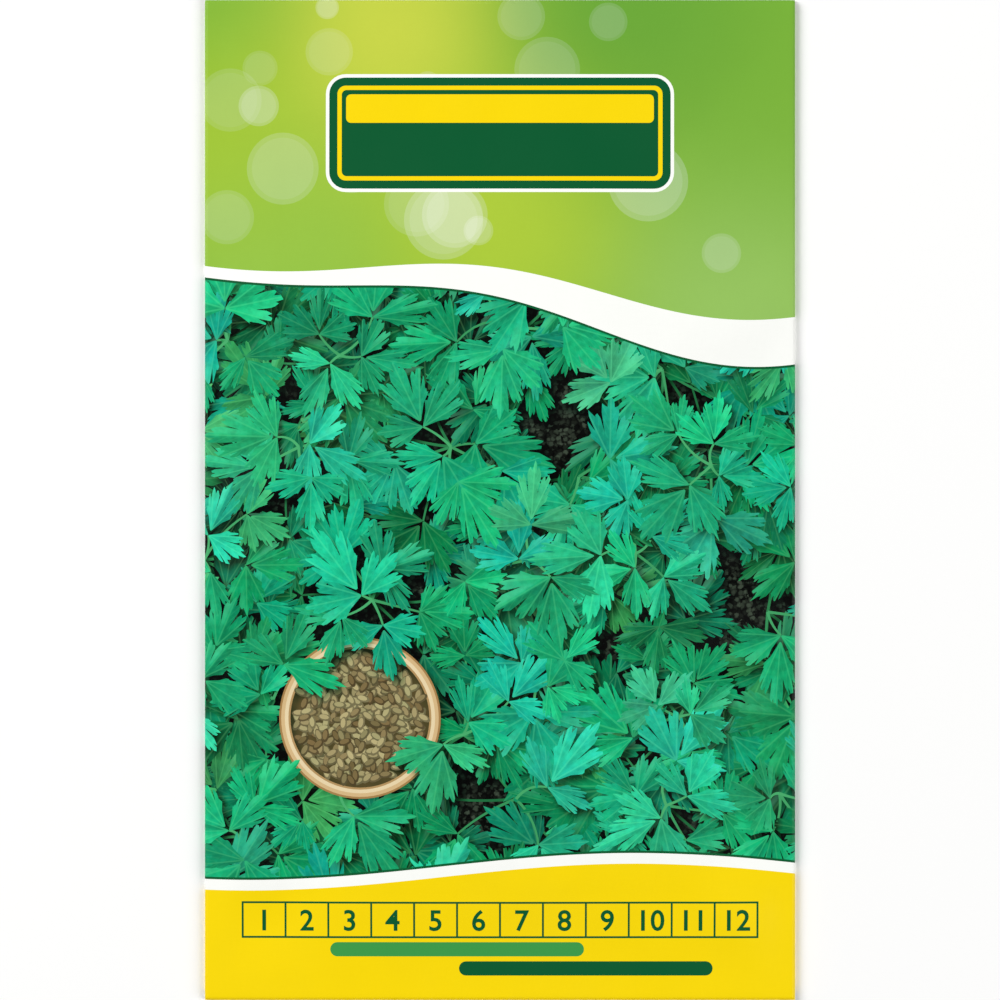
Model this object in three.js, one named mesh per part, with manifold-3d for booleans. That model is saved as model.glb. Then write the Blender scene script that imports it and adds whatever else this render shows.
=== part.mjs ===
// A filled seed packet, lying on its back: one printed paper sheet folded into a flat pouch, the three
// glue films that close it, and the loose seeds inside. Millimetres, +Z up, +X to the right and +Y to
// the top edge as seen from the printed front. The origin is on the surface below the packet's middle.
import * as THREE from "three";
import { mergeVertices } from "three/addons/utils/BufferGeometryUtils.js";
import Module from "manifold-3d";

const wasm = await Module();
wasm.setup();

// Driving dimensions of the packet
const PACKET_WIDTH = 95;
const PACKET_HEIGHT = 161;
const SHEET_THICKNESS = 0.2;
const GLUE_GAP = 0.06; // room between two layers that are glued together
const EDGE_HEIGHT = 1.3; // height of the front face along all four edges
const BELLY_HEIGHT = 3.2; // how far the seeds lift the front face above its edges
const SIDE_FLAP_WIDTH = 12; // glued lap along the left edge, on the back
const BOTTOM_FLAP_LENGTH = 16;
const TOP_FLAP_LENGTH = 20;
const FLAP_TAPER = 0.1; // share by which each end flap narrows towards its free edge
const SIDE_FLAP_TAPER = 0.035;
const CORNER_NOTCH = 0.8; // cut away on both sides of each corner so that the folds clear each other

// Levels of the layers on the back, from the surface upwards
const LAYER = SHEET_THICKNESS + GLUE_GAP;
const FLAP_LEVEL = 0;
const SEAM_LEVEL = LAYER;
const OVER_SEAM_LEVEL = 2 * LAYER;

// Folds: the outer radius of each, and where the flat panels end
const SIDE_FOLD_RADIUS = (EDGE_HEIGHT - SEAM_LEVEL) / 2;
const END_FOLD_RADIUS = (EDGE_HEIGHT - FLAP_LEVEL) / 2;
const PANEL_HALF_WIDTH = PACKET_WIDTH / 2 - SIDE_FOLD_RADIUS;
const PANEL_HALF_HEIGHT = PACKET_HEIGHT / 2 - END_FOLD_RADIUS;
const FOLD_STEPS = 6;

// The lap seam on the back
const BACK_EDGE_INSET = 0.6; // the back panel's free edge, inside the left fold
const SEAM_STEP_WIDTH = 2.5; // over which the back panel comes down beside the side flap
const SEAM_EDGE_X = -PANEL_HALF_WIDTH + SIDE_FLAP_WIDTH;

// The belly: its highest point sits low in the packet, where the seeds have settled
const BELLY_LOW_POWER = 0.9;
const BELLY_HIGH_POWER = 1.6;
const BELLY_SIDE_POWER = 1.35;
const BELLY_END_BLEND = 0.12; // share of the height over which the belly starts at either end
const SAG_CENTRE_Y = -10;
const SAG_HALF_WIDTH = 30;
const SAG_HALF_HEIGHT = 44;
const SAG_BLEND = 12; // over which the back panel comes down to the surface
const SLOPE_STEP = 0.05; // half the distance over which a slope is measured

// How finely the sheet is divided
const FRONT_COLUMNS = 16;
const FRONT_ROWS = 22;
const BACK_COLUMNS = 12;
const SEAM_COLUMNS = 3;
const LAP_COLUMNS = 2;
const SIDE_FLAP_COLUMNS = 3;
const END_FLAP_ROWS = 2;
const SEAM_MARGIN = 1; // flat paper on both sides of the step over the seam

// The glue films
const GLUE_AIR = 0.005; // between a film and the paper on either side
const GLUE_INSET = 2.5; // from a flap's outline
const SEAM_GLUE_INSET = 1; // from the side flap's free edge

// The seeds
const SEED_LENGTH = 2.8;
const SEED_WIDTH = 1.4;
const SEED_HEIGHT = 1.1;
const SEED_SIDES = 6;
const SEED_BANDS = 3;
const SEED_SPACING = 6.6;
const SEED_SHIFT = 0.25; // share of the spacing by which a seed may lie off its place
const SEED_TIP = 0.15; // radians by which a seed may tip
const SEED_REACH = 0.62; // a tipped seed's highest point above its middle, in seed heights
const SEED_ROOM = 0.3; // kept free between the seeds and the paper
const UNDERSIDE_SEED_EVERY = 3; // one place in three also has a seed on the underside
const SEED_BED_CENTRE_Y = -24;
const SEED_BED_HALF_WIDTH = 34;
const SEED_BED_HALF_HEIGHT = 45;
const SEED_BED_RIM = 0.2; // half the bed's thickness at its rim
const SEED_BED_SECTORS = 24;
const SEED_BED_RINGS = [0, 0.4, 0.75, 1]; // shares of the way from the middle to the rim
const RANDOM_START = 20817;

// Colours
const SHEET_GREEN = 0x2fa266;
const GLUE_CREAM = 0xe9e2c8;
const SEED_BROWN = 0x857150;

// Smooth step from 0 to 1 as t goes from 0 to 1, flat at both ends.
function ease(t) {
  const s = Math.min(1, Math.max(0, t));
  return s * s * (3 - 2 * s);
}

// Lift of the front face above its edges: a low-set hump along Y times a flat-topped arch across X.
function bellyLift(x, y) {
  const across = Math.min(1, Math.abs(x) / PANEL_HALF_WIDTH);
  const along = Math.min(1, Math.max(0, 0.5 + y / (2 * PANEL_HALF_HEIGHT)));
  const hump = (s) => Math.pow(s, BELLY_LOW_POWER) * Math.pow(1 - s, BELLY_HIGH_POWER);
  const peak = BELLY_LOW_POWER / (BELLY_LOW_POWER + BELLY_HIGH_POWER);
  const ends = ease(along / BELLY_END_BLEND) * ease((1 - along) / BELLY_END_BLEND);
  const arch = Math.pow(1 - across * across, BELLY_SIDE_POWER);
  return (BELLY_HEIGHT * arch * ends * hump(along)) / hump(peak);
}

// Height of the printed front face.
function frontHeight(x, y) {
  return EDGE_HEIGHT + bellyLift(x, y);
}

// Height of the back panel's outer face: it passes over the side flap, then lies lower, and sags to
// the surface under the seeds.
function backHeight(x, y) {
  const step = 1 - ease((x - SEAM_EDGE_X - GLUE_GAP) / SEAM_STEP_WIDTH);
  const inWidth = ease((SAG_HALF_WIDTH - Math.abs(x)) / SAG_BLEND);
  const inHeight = ease((SAG_HALF_HEIGHT - Math.abs(y - SAG_CENTRE_Y)) / SAG_BLEND);
  return SEAM_LEVEL * (1 - inWidth * inHeight) + (OVER_SEAM_LEVEL - SEAM_LEVEL) * step;
}

// Outward normal of a height field, upwards for sign 1 and downwards for sign -1.
function fieldNormal(height, x, y, sign) {
  const d = SLOPE_STEP;
  const slopeX = (height(x + d, y) - height(x - d, y)) / (2 * d);
  const slopeY = (height(x, y + d) - height(x, y - d)) / (2 * d);
  return new THREE.Vector3(-slopeX, -slopeY, 1).normalize().multiplyScalar(sign);
}

// Evenly spaced values from a to b, both included.
function spread(a, b, steps) {
  return Array.from({ length: steps + 1 }, (_, i) => a + ((b - a) * i) / steps);
}

// A station is one grid line of the unfolded sheet: the zone it lies in and its place there.
const stations = (zone, places) => places.map((at) => ({ zone, at }));
const foldAngles = spread(0, Math.PI, FOLD_STEPS).slice(1, -1);

function acrossStations() {
  const notchX = PANEL_HALF_WIDTH - CORNER_NOTCH;
  const front = [-PANEL_HALF_WIDTH, ...spread(-notchX, notchX, FRONT_COLUMNS), PANEL_HALF_WIDTH];
  const stepEnd = SEAM_EDGE_X + GLUE_GAP;
  const stepStart = stepEnd + SEAM_STEP_WIDTH;
  const back = spread(PANEL_HALF_WIDTH, stepStart + SEAM_MARGIN, BACK_COLUMNS);
  const overSeam = spread(stepStart, stepEnd, SEAM_COLUMNS);
  const freeEdge = -PANEL_HALF_WIDTH + BACK_EDGE_INSET;
  const lap = spread(stepEnd - SEAM_MARGIN, freeEdge, LAP_COLUMNS);
  return [
    ...stations("sideFlap", spread(SIDE_FLAP_WIDTH, 0, SIDE_FLAP_COLUMNS)),
    ...stations("leftFold", foldAngles.toReversed()),
    ...stations("front", front),
    ...stations("rightFold", foldAngles),
    ...stations("back", [...back, ...overSeam, ...lap]),
  ];
}

function alongStations() {
  const notchY = PANEL_HALF_HEIGHT - CORNER_NOTCH;
  const front = [-PANEL_HALF_HEIGHT, ...spread(-notchY, notchY, FRONT_ROWS), PANEL_HALF_HEIGHT];
  return [
    ...stations("bottomFlap", spread(BOTTOM_FLAP_LENGTH, 0, END_FLAP_ROWS)),
    ...stations("bottomFold", foldAngles.toReversed()),
    ...stations("front", front),
    ...stations("topFold", foldAngles),
    ...stations("topFlap", spread(0, TOP_FLAP_LENGTH, END_FLAP_ROWS)),
  ];
}

// Where the sheet's outer face is, folded, at the crossing of two stations, with its outward normal.
function foldedSheet(across, along) {
  if (along.zone === "front") return foldedAcross(across, along.at);
  const side = along.zone.startsWith("bottom") ? -1 : 1;
  const x = across.at;
  if (along.zone.endsWith("Fold")) {
    const out = new THREE.Vector3(0, side * Math.sin(along.at), Math.cos(along.at));
    const middle = new THREE.Vector3(x, side * PANEL_HALF_HEIGHT, FLAP_LEVEL + END_FOLD_RADIUS);
    return { point: middle.addScaledVector(out, END_FOLD_RADIUS), normal: out };
  }
  const length = side < 0 ? BOTTOM_FLAP_LENGTH : TOP_FLAP_LENGTH;
  const narrowed = x * (1 - (FLAP_TAPER * along.at) / length);
  const y = side * (PANEL_HALF_HEIGHT - along.at);
  return {
    point: new THREE.Vector3(narrowed, y, FLAP_LEVEL),
    normal: new THREE.Vector3(0, 0, -1),
  };
}

// The same for the tube of front panel, side folds, side flap and back panel.
function foldedAcross(across, y) {
  if (across.zone === "front") {
    const x = across.at;
    const point = new THREE.Vector3(x, y, frontHeight(x, y));
    return { point, normal: fieldNormal(frontHeight, x, y, 1) };
  }
  if (across.zone === "back") {
    const x = across.at;
    const point = new THREE.Vector3(x, y, backHeight(x, y));
    return { point, normal: fieldNormal(backHeight, x, y, -1) };
  }
  if (across.zone === "sideFlap") {
    const narrowed = y * (1 - (SIDE_FLAP_TAPER * across.at) / SIDE_FLAP_WIDTH);
    const point = new THREE.Vector3(-PANEL_HALF_WIDTH + across.at, narrowed, SEAM_LEVEL);
    return { point, normal: new THREE.Vector3(0, 0, -1) };
  }
  const side = across.zone === "leftFold" ? -1 : 1;
  const out = new THREE.Vector3(side * Math.sin(across.at), 0, Math.cos(across.at));
  const middle = new THREE.Vector3(side * PANEL_HALF_WIDTH, y, SEAM_LEVEL + SIDE_FOLD_RADIUS);
  return { point: middle.addScaledVector(out, SIDE_FOLD_RADIUS), normal: out };
}

// True where the sheet is, between a station and the next one: the front panel all over, the tube away
// from the corner notches, and the end flaps and their folds away from the notches.
function sheetIsHere(across, nextAcross, along, nextAlong) {
  const inFront = (a, b) => a.zone === "front" && b.zone === "front";
  const clearOfNotch = (a, b, half) =>
    inFront(a, b) && Math.max(Math.abs(a.at), Math.abs(b.at)) <= half - CORNER_NOTCH + 1e-6;
  if (inFront(across, nextAcross) && inFront(along, nextAlong)) return true;
  return inFront(across, nextAcross)
    ? clearOfNotch(across, nextAcross, PANEL_HALF_WIDTH)
    : clearOfNotch(along, nextAlong, PANEL_HALF_HEIGHT);
}

// One closed skin round the folded sheet: its outer face, its inner face and its cut edges.
function sheetGeometry() {
  const columns = acrossStations();
  const rows = alongStations();
  const here = columns.map((c, i) =>
    rows.map(
      (r, j) =>
        i + 1 < columns.length &&
        j + 1 < rows.length &&
        sheetIsHere(c, columns[i + 1], r, rows[j + 1]),
    ),
  );
  const isHere = (i, j) => Boolean(here[i]?.[j]);
  const places = [];
  const index = new Map();
  const vertex = (i, j, inner) => {
    const key = `${i},${j},${inner}`;
    if (!index.has(key)) {
      const { point, normal } = foldedSheet(columns[i], rows[j]);
      const at = inner ? point.clone().addScaledVector(normal, -SHEET_THICKNESS) : point;
      index.set(key, places.length / 3);
      places.push(at.x, at.y, at.z);
    }
    return index.get(key);
  };
  const faces = [];
  const quad = (a, b, c, d) => faces.push(a, b, c, a, c, d);
  const edge = (i0, j0, i1, j1) =>
    quad(vertex(i0, j0, 0), vertex(i0, j0, 1), vertex(i1, j1, 1), vertex(i1, j1, 0));
  for (let i = 0; i + 1 < columns.length; i += 1)
    for (let j = 0; j + 1 < rows.length; j += 1) {
      if (!isHere(i, j)) continue;
      const corners = [[i, j], [i + 1, j], [i + 1, j + 1], [i, j + 1]];
      quad(...corners.map(([a, b]) => vertex(a, b, 0)));
      quad(...corners.toReversed().map(([a, b]) => vertex(a, b, 1)));
      if (!isHere(i, j - 1)) edge(i, j, i + 1, j);
      if (!isHere(i + 1, j)) edge(i + 1, j, i + 1, j + 1);
      if (!isHere(i, j + 1)) edge(i + 1, j + 1, i, j + 1);
      if (!isHere(i - 1, j)) edge(i, j + 1, i, j);
    }
  const geometry = new THREE.BufferGeometry();
  geometry.setAttribute("position", new THREE.Float32BufferAttribute(places, 3));
  geometry.setIndex(faces);
  geometry.computeVertexNormals();
  return geometry;
}

// A glue film: a flat outline, a little thinner than the gap that it fills.
function glueGeometry(corners, level) {
  const outline = new THREE.Shape(corners.map(([x, y]) => new THREE.Vector2(x, y)));
  const depth = GLUE_GAP - 2 * GLUE_AIR;
  const film = new THREE.ExtrudeGeometry(outline, { depth, bevelEnabled: false });
  return film.translate(0, 0, level + SHEET_THICKNESS + GLUE_AIR);
}

// The film under an end flap, inset from its tapered outline.
function endGlueGeometry(side, flapLength) {
  const near = PANEL_HALF_HEIGHT - GLUE_INSET;
  const far = PANEL_HALF_HEIGHT - flapLength + GLUE_INSET;
  const widest = PANEL_HALF_WIDTH - CORNER_NOTCH - GLUE_INSET;
  const narrowest = widest * (1 - FLAP_TAPER);
  const corners = [[-widest, near], [-narrowest, far], [narrowest, far], [widest, near]];
  const turned = corners.map(([x, y]) => [x, side * y]);
  return glueGeometry(side > 0 ? turned : turned.toReversed(), FLAP_LEVEL);
}

// The film between the side flap and the back panel.
function sideGlueGeometry() {
  const left = -PANEL_HALF_WIDTH + GLUE_INSET;
  const right = SEAM_EDGE_X - SEAM_GLUE_INSET;
  const half = (PANEL_HALF_HEIGHT - CORNER_NOTCH) * (1 - SIDE_FLAP_TAPER) - GLUE_INSET;
  return glueGeometry([[left, -half], [right, -half], [right, half], [left, half]], SEAM_LEVEL);
}

// A solid of a closed geometry, for joining.
function solidOf(geometry) {
  const bare = geometry.clone();
  bare.deleteAttribute("normal");
  bare.deleteAttribute("uv");
  const merged = mergeVertices(bare, 1e-4);
  return new wasm.Manifold(
    new wasm.Mesh({
      numProp: 3,
      vertProperties: new Float32Array(merged.attributes.position.array),
      triVerts: new Uint32Array(merged.index.array),
    }),
  );
}

// The geometry of a joined solid.
function geometryOf(solid) {
  const { vertProperties, triVerts } = solid.getMesh();
  const geometry = new THREE.BufferGeometry();
  geometry.setAttribute("position", new THREE.Float32BufferAttribute(vertProperties, 3));
  geometry.setIndex(Array.from(triVerts));
  geometry.computeVertexNormals();
  return geometry;
}

// Seeded random numbers from 0 to 1.
function randomNumbers(start) {
  let state = start;
  return () => {
    state = (Math.imul(state, 1664525) + 1013904223) >>> 0;
    return state / 4294967296;
  };
}

// Room for the seeds at a place: the lowest and highest point that they may reach.
function seedRoom(x, y) {
  return {
    low: backHeight(x, y) + SHEET_THICKNESS + SEED_ROOM,
    high: frontHeight(x, y) - SHEET_THICKNESS - SEED_ROOM,
  };
}

// The corners of one ring of the seed bed, on its top or its underside. The middle is a single point.
function seedBedRing(share, top) {
  const count = share === 0 ? 1 : SEED_BED_SECTORS;
  const stand = SEED_HEIGHT / 2; // seeds stand this far out of the bed
  return Array.from({ length: count }, (_, s) => {
    const angle = (2 * Math.PI * s) / SEED_BED_SECTORS;
    const x = SEED_BED_HALF_WIDTH * share * Math.cos(angle);
    const y = SEED_BED_CENTRE_Y + SEED_BED_HALF_HEIGHT * share * Math.sin(angle);
    const { low, high } = seedRoom(x, y);
    const half = Math.max(SEED_BED_RIM, (high - low) / 2 - stand);
    return [x, y, (low + high) / 2 + (top ? half : -half)];
  });
}

// The packed inside of the heap: a lens between the two panels, thinnest at its oval rim.
function seedBedGeometry() {
  const places = [];
  const faces = [];
  const addRing = (share, top) => {
    const first = places.length / 3;
    places.push(...seedBedRing(share, top).flat());
    return first;
  };
  const topRings = SEED_BED_RINGS.map((share) => addRing(share, true));
  const lowRings = SEED_BED_RINGS.map((share) => addRing(share, false));
  const next = (s) => (s + 1) % SEED_BED_SECTORS;
  for (const [starts, flip] of [[topRings, false], [lowRings, true]])
    for (let s = 0; s < SEED_BED_SECTORS; s += 1) {
      const add = (a, b, c) => faces.push(a, flip ? c : b, flip ? b : c);
      add(starts[0], starts[1] + s, starts[1] + next(s));
      for (let r = 1; r + 1 < starts.length; r += 1) {
        add(starts[r] + s, starts[r + 1] + s, starts[r + 1] + next(s));
        add(starts[r] + s, starts[r + 1] + next(s), starts[r] + next(s));
      }
    }
  const top = topRings.at(-1);
  const low = lowRings.at(-1);
  for (let s = 0; s < SEED_BED_SECTORS; s += 1) {
    faces.push(top + s, low + s, low + next(s));
    faces.push(top + s, low + next(s), top + next(s));
  }
  const geometry = new THREE.BufferGeometry();
  geometry.setAttribute("position", new THREE.Float32BufferAttribute(places, 3));
  geometry.setIndex(faces);
  return geometry;
}

// One seed: a small ovoid lying at a place, turned by an angle and tipped a little.
function seedGeometry(x, y, z, turn, tip) {
  const seed = new THREE.SphereGeometry(0.5, SEED_SIDES, SEED_BANDS);
  seed.scale(SEED_WIDTH, SEED_LENGTH, SEED_HEIGHT);
  seed.rotateX(tip).rotateZ(turn);
  return seed.translate(x, y, z);
}

// The places of a jittered hexagonal grid over the seed bed. One in three also has an underside seed.
function seedPlaces(random) {
  const rowGap = (SEED_SPACING * Math.sqrt(3)) / 2;
  const rowCount = Math.ceil(SEED_BED_HALF_HEIGHT / rowGap);
  const columnCount = Math.ceil(SEED_BED_HALF_WIDTH / SEED_SPACING) + 1;
  const between = (most) => (2 * random() - 1) * most;
  const places = [];
  for (let row = -rowCount; row <= rowCount; row += 1)
    for (let column = -columnCount; column <= columnCount; column += 1) {
      const shift = SEED_SHIFT * SEED_SPACING;
      const x = (column + (row % 2 ? 0.5 : 0)) * SEED_SPACING + between(shift);
      const y = row * rowGap + between(shift);
      const turns = [random() * Math.PI, random() * Math.PI];
      const tips = [between(SEED_TIP), between(SEED_TIP)];
      const below = (row + column) % UNDERSIDE_SEED_EVERY === 0;
      if (Math.hypot(x / SEED_BED_HALF_WIDTH, y / SEED_BED_HALF_HEIGHT) > 1) continue;
      places.push({ x, y: y + SEED_BED_CENTRE_Y, turns, tips, below });
    }
  return places;
}

// The heap: seeds strewn over the top of the bed, and more thinly over its underside.
function seedFillGeometry() {
  const reach = SEED_HEIGHT * SEED_REACH;
  const solids = [solidOf(seedBedGeometry())];
  for (const { x, y, turns, tips, below } of seedPlaces(randomNumbers(RANDOM_START))) {
    const { low, high } = seedRoom(x, y);
    solids.push(solidOf(seedGeometry(x, y, high - reach, turns[0], tips[0])));
    if (below) solids.push(solidOf(seedGeometry(x, y, low + reach, turns[1], tips[1])));
  }
  return geometryOf(wasm.Manifold.union(solids));
}

// A named piece with its own finish.
function piece(name, geometry, color, roughness) {
  const material = new THREE.MeshStandardMaterial({ color, roughness, metalness: 0 });
  const mesh = new THREE.Mesh(geometry, material);
  mesh.name = name;
  return mesh;
}

const seedPacket = new THREE.Group();
seedPacket.add(
  piece("paper_sheet", sheetGeometry(), SHEET_GREEN, 0.45),
  piece("side_seam_glue", sideGlueGeometry(), GLUE_CREAM, 0.6),
  piece("bottom_flap_glue", endGlueGeometry(-1, BOTTOM_FLAP_LENGTH), GLUE_CREAM, 0.6),
  piece("top_flap_glue", endGlueGeometry(1, TOP_FLAP_LENGTH), GLUE_CREAM, 0.6),
  piece("seed_fill", seedFillGeometry(), SEED_BROWN, 0.85),
);

export default seedPacket;
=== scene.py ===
"""Looks of a filled seed packet: a printed paper pouch, the glue films that close it and its seeds.

The packet lies on its back with the printed front up. Formulas work in millimetres of the packet's own
frame, with the middle of the packet at the origin, and every mesh is written in metres.
"""

import logging
import math
from collections.abc import Callable
from dataclasses import dataclass, field
from enum import Enum, IntEnum
from itertools import chain
from typing import ClassVar

import bpy
import numpy as np
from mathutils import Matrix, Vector
from mathutils.geometry import delaunay_2d_cdt


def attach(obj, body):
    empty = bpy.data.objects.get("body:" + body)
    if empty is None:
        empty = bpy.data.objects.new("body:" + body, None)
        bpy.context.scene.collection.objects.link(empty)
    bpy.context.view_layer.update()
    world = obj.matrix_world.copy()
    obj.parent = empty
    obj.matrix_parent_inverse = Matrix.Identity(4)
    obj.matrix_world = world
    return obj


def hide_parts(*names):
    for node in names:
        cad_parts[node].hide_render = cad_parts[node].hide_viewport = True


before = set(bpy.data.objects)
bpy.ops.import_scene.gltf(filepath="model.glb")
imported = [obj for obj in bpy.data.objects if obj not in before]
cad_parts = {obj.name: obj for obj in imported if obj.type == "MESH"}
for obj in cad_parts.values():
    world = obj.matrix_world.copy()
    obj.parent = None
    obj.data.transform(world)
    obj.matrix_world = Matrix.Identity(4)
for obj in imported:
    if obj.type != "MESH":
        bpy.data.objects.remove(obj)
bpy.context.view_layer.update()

Array = np.ndarray
Ink = tuple[float, float, float]
Pair = tuple[float, float]
Triple = tuple[float, float, float]
Random = np.random.Generator
Socket = bpy.types.NodeSocket
Sockets = bpy.types.bpy_prop_collection
MM = 0.001
SHEET_NODE = "paper_sheet"
SEED_NODE = "seed_fill"
GLUE_NODES = ("side_seam_glue", "bottom_flap_glue", "top_flap_glue")
SAME_PLACE = 1e-4  # millimetres under which two printed points are one
SMALLEST_FACE = 1e-3  # square millimetres under which a piece of a figure is left out
MONTHS = 12
DARK_GREEN = "#0B5A31"
LEAF_GREEN = "#46A356"
YELLOW = "#F9D908"
FIGURE_RISE = 0.72  # height of a figure, as a share of its font size

log = logging.getLogger("seed_packet")


class Slot(str, Enum):
    """Names of the record's material slots for built pieces. Nothing in the script gives them to a piece; the
    glue films keep theirs.
    """

    PAPER = "printed_paper"
    SEEDS = "seeds"


class Kind(IntEnum):
    """What a printed region shows, which decides how its ink is shaded."""

    PLAIN = 0
    WASH = 1
    SOIL = 2
    STEM = 3
    LEAF = 4
    THING = 5
    GLOW = 6


def ease(t: Array) -> Array:
    """Smooth step: 0 up to t = 0, 1 from t = 1, flat at both ends."""
    s = np.clip(t, 0.0, 1.0)
    return s * s * (3.0 - 2.0 * s)


def bell(t: Array) -> Array:
    """Bell of height 1 and a standard deviation of 1."""
    return np.exp(-0.5 * np.square(t))


def ink(code: str) -> Ink:
    """Turns a colour code into linear light.

    Args:
        code: The colour as printed, "#RRGGBB" in sRGB.

    Returns:
        Red, green and blue in linear light.
    """
    parts = np.array([int(code[k : k + 2], 16) for k in (1, 3, 5)]) / 255.0
    light = np.where(parts <= 0.04045, parts / 12.92, ((parts + 0.055) / 1.055) ** 2.4)
    return tuple(float(part) for part in light)


def paint(code: str) -> tuple[float, float, float, float]:
    """A colour code as an opaque colour for a node."""
    return (*ink(code), 1.0)


def hex_places(half: Pair, spacing: float, shift: float, rng: Random) -> Array:
    """Places on a jittered hexagonal grid over a rectangle round the origin.

    Rows lie spacing times the sine of 60 degrees apart, every second row is moved by half a spacing, and
    each place then moves by up to the shift in both directions.

    Args:
        half: Half the rectangle's width and height.
        spacing: Distance between neighbours.
        shift: Most that a place may move, as a share of the spacing.
        rng: Seeded random numbers.

    Returns:
        The places, one row of x and y each.
    """
    row_gap = spacing * math.sin(math.pi / 3)
    rows = math.ceil(half[1] / row_gap)
    columns = math.ceil(half[0] / spacing)
    j, i = np.meshgrid(np.arange(-rows, rows + 1), np.arange(-columns, columns + 1), indexing="ij")
    places = np.stack([(i + 0.5 * (j % 2)) * spacing, j * row_gap], axis=-1).reshape(-1, 2)
    return places + rng.uniform(-shift, shift, places.shape) * spacing


# The packet's shape


@dataclass(frozen=True)
class Relief:
    """Small shapes of a filled and handled paper packet, in millimetres above the plain belly."""

    dent_height: float = 0.2
    dent_sink: float = 0.55
    dent_radius: float = 1.55
    dent_spacing: float = 5.2
    dent_shift: float = 0.32
    dent_least: float = 0.25
    dent_rim: float = 0.72
    sink_rim: float = 0.6
    bed_centre_y: float = -24.0
    bed_half: Pair = (34.0, 45.0)
    pucker_height: float = 0.32
    pucker_length: float = 17.0
    pucker_reach: float = 5.5
    pucker_inset: float = 1.6
    pucker_centre_y: float = -14.0
    pucker_wander: Triple = (1.7, 23.0, 0.6)
    pucker_lag: float = 1.9
    pucker_fade: Pair = (0.55, 0.35)
    crease_height: float = 0.36
    crease_width: float = 3.2
    crease_end: Pair = (0.38, 0.52)
    crease_fade: Triple = (0.3, 0.6, 0.5)
    crease_sides: tuple[tuple, ...] = ((-1, 1, 1.0), (1, 1, -0.7), (-1, -1, -0.8), (1, -1, 0.9))
    flap_step: float = 0.06
    flap_blend: float = 1.1
    edge_fade: float = 5.0
    random_start: int = 4211

    def in_bed(self, x: Array, y: Array, rim: float) -> Array:
        """1 over the middle of the seeds' oval bed, and from the rim's start down to 0 at its edge."""
        away = np.hypot(x / self.bed_half[0], y / self.bed_half[1])
        return 1.0 - ease((away - rim) / (1 - rim))

    def dents(self, x: Array, y: Array) -> Array:
        """Soft bumps where seeds press on the paper: a bell over each place of a jittered grid.

        The paper between them sinks by a part of their height.

        Args:
            x, y: Places across and along the packet.

        Returns:
            Heights of the bumps.
        """
        rng = np.random.default_rng(self.random_start)
        places = hex_places(self.bed_half, self.dent_spacing, self.dent_shift, rng)
        tall = rng.uniform(self.dent_least, 1.0, len(places))
        tall *= self.in_bed(*places.T, self.dent_rim)
        heights = np.zeros_like(x)
        for (at_x, at_y), share in zip(places, tall):
            away = np.hypot(x - at_x, y - at_y - self.bed_centre_y)
            heights += share * bell(away / self.dent_radius)
        sunk = self.dent_sink * self.in_bed(x, y - self.bed_centre_y, self.sink_rim)
        return self.dent_height * (heights - sunk)

    def puckers(self, x: Array, y: Array, half_x: float, half_y: float) -> Array:
        """Ripples beside the long edges: a wave along y with a wandering phase, under a bell across x.

        Args:
            x, y: Places across and along the packet.
            half_x, half_y: Half the front panel's width and height.

        Returns:
            Heights of the ripples.
        """
        swing, length, start = self.pucker_wander
        phase = swing * np.sin(y / length + start) + np.where(x > 0, self.pucker_lag, 0.0)
        wave = np.sin(2 * np.pi * y / self.pucker_length + phase)
        inward = bell((half_x - np.abs(x) - self.pucker_inset * self.pucker_reach) / self.pucker_reach)
        start, span = self.pucker_fade
        middle = 1.0 - ease((np.abs(y - self.pucker_centre_y) - start * half_y) / (span * half_y))
        return self.pucker_height * wave * inward * middle

    def creases(self, x: Array, y: Array, half_x: float, half_y: float) -> Array:
        """Soft ridges from the corners towards the belly: a bell across each slanted line.

        Args:
            x, y: Places across and along the packet.
            half_x, half_y: Half the front panel's width and height.

        Returns:
            Heights of the ridges.
        """
        heights = np.zeros_like(x)
        end_x, end_y = self.crease_end
        rise, fall, span = self.crease_fade
        for side_x, side_y, tall in self.crease_sides:
            start = np.array([side_x * half_x, side_y * half_y])
            run = np.array([side_x * end_x * half_x, side_y * end_y * half_y]) - start
            length = np.hypot(*run)
            along = ((x - start[0]) * run[0] + (y - start[1]) * run[1]) / length
            across = ((x - start[0]) * run[1] - (y - start[1]) * run[0]) / length
            reach = ease(along / (rise * length)) * (1.0 - ease((along - fall * length) / (span * length)))
            heights += tall * reach * bell(across / self.crease_width)
        return self.crease_height * heights


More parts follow.
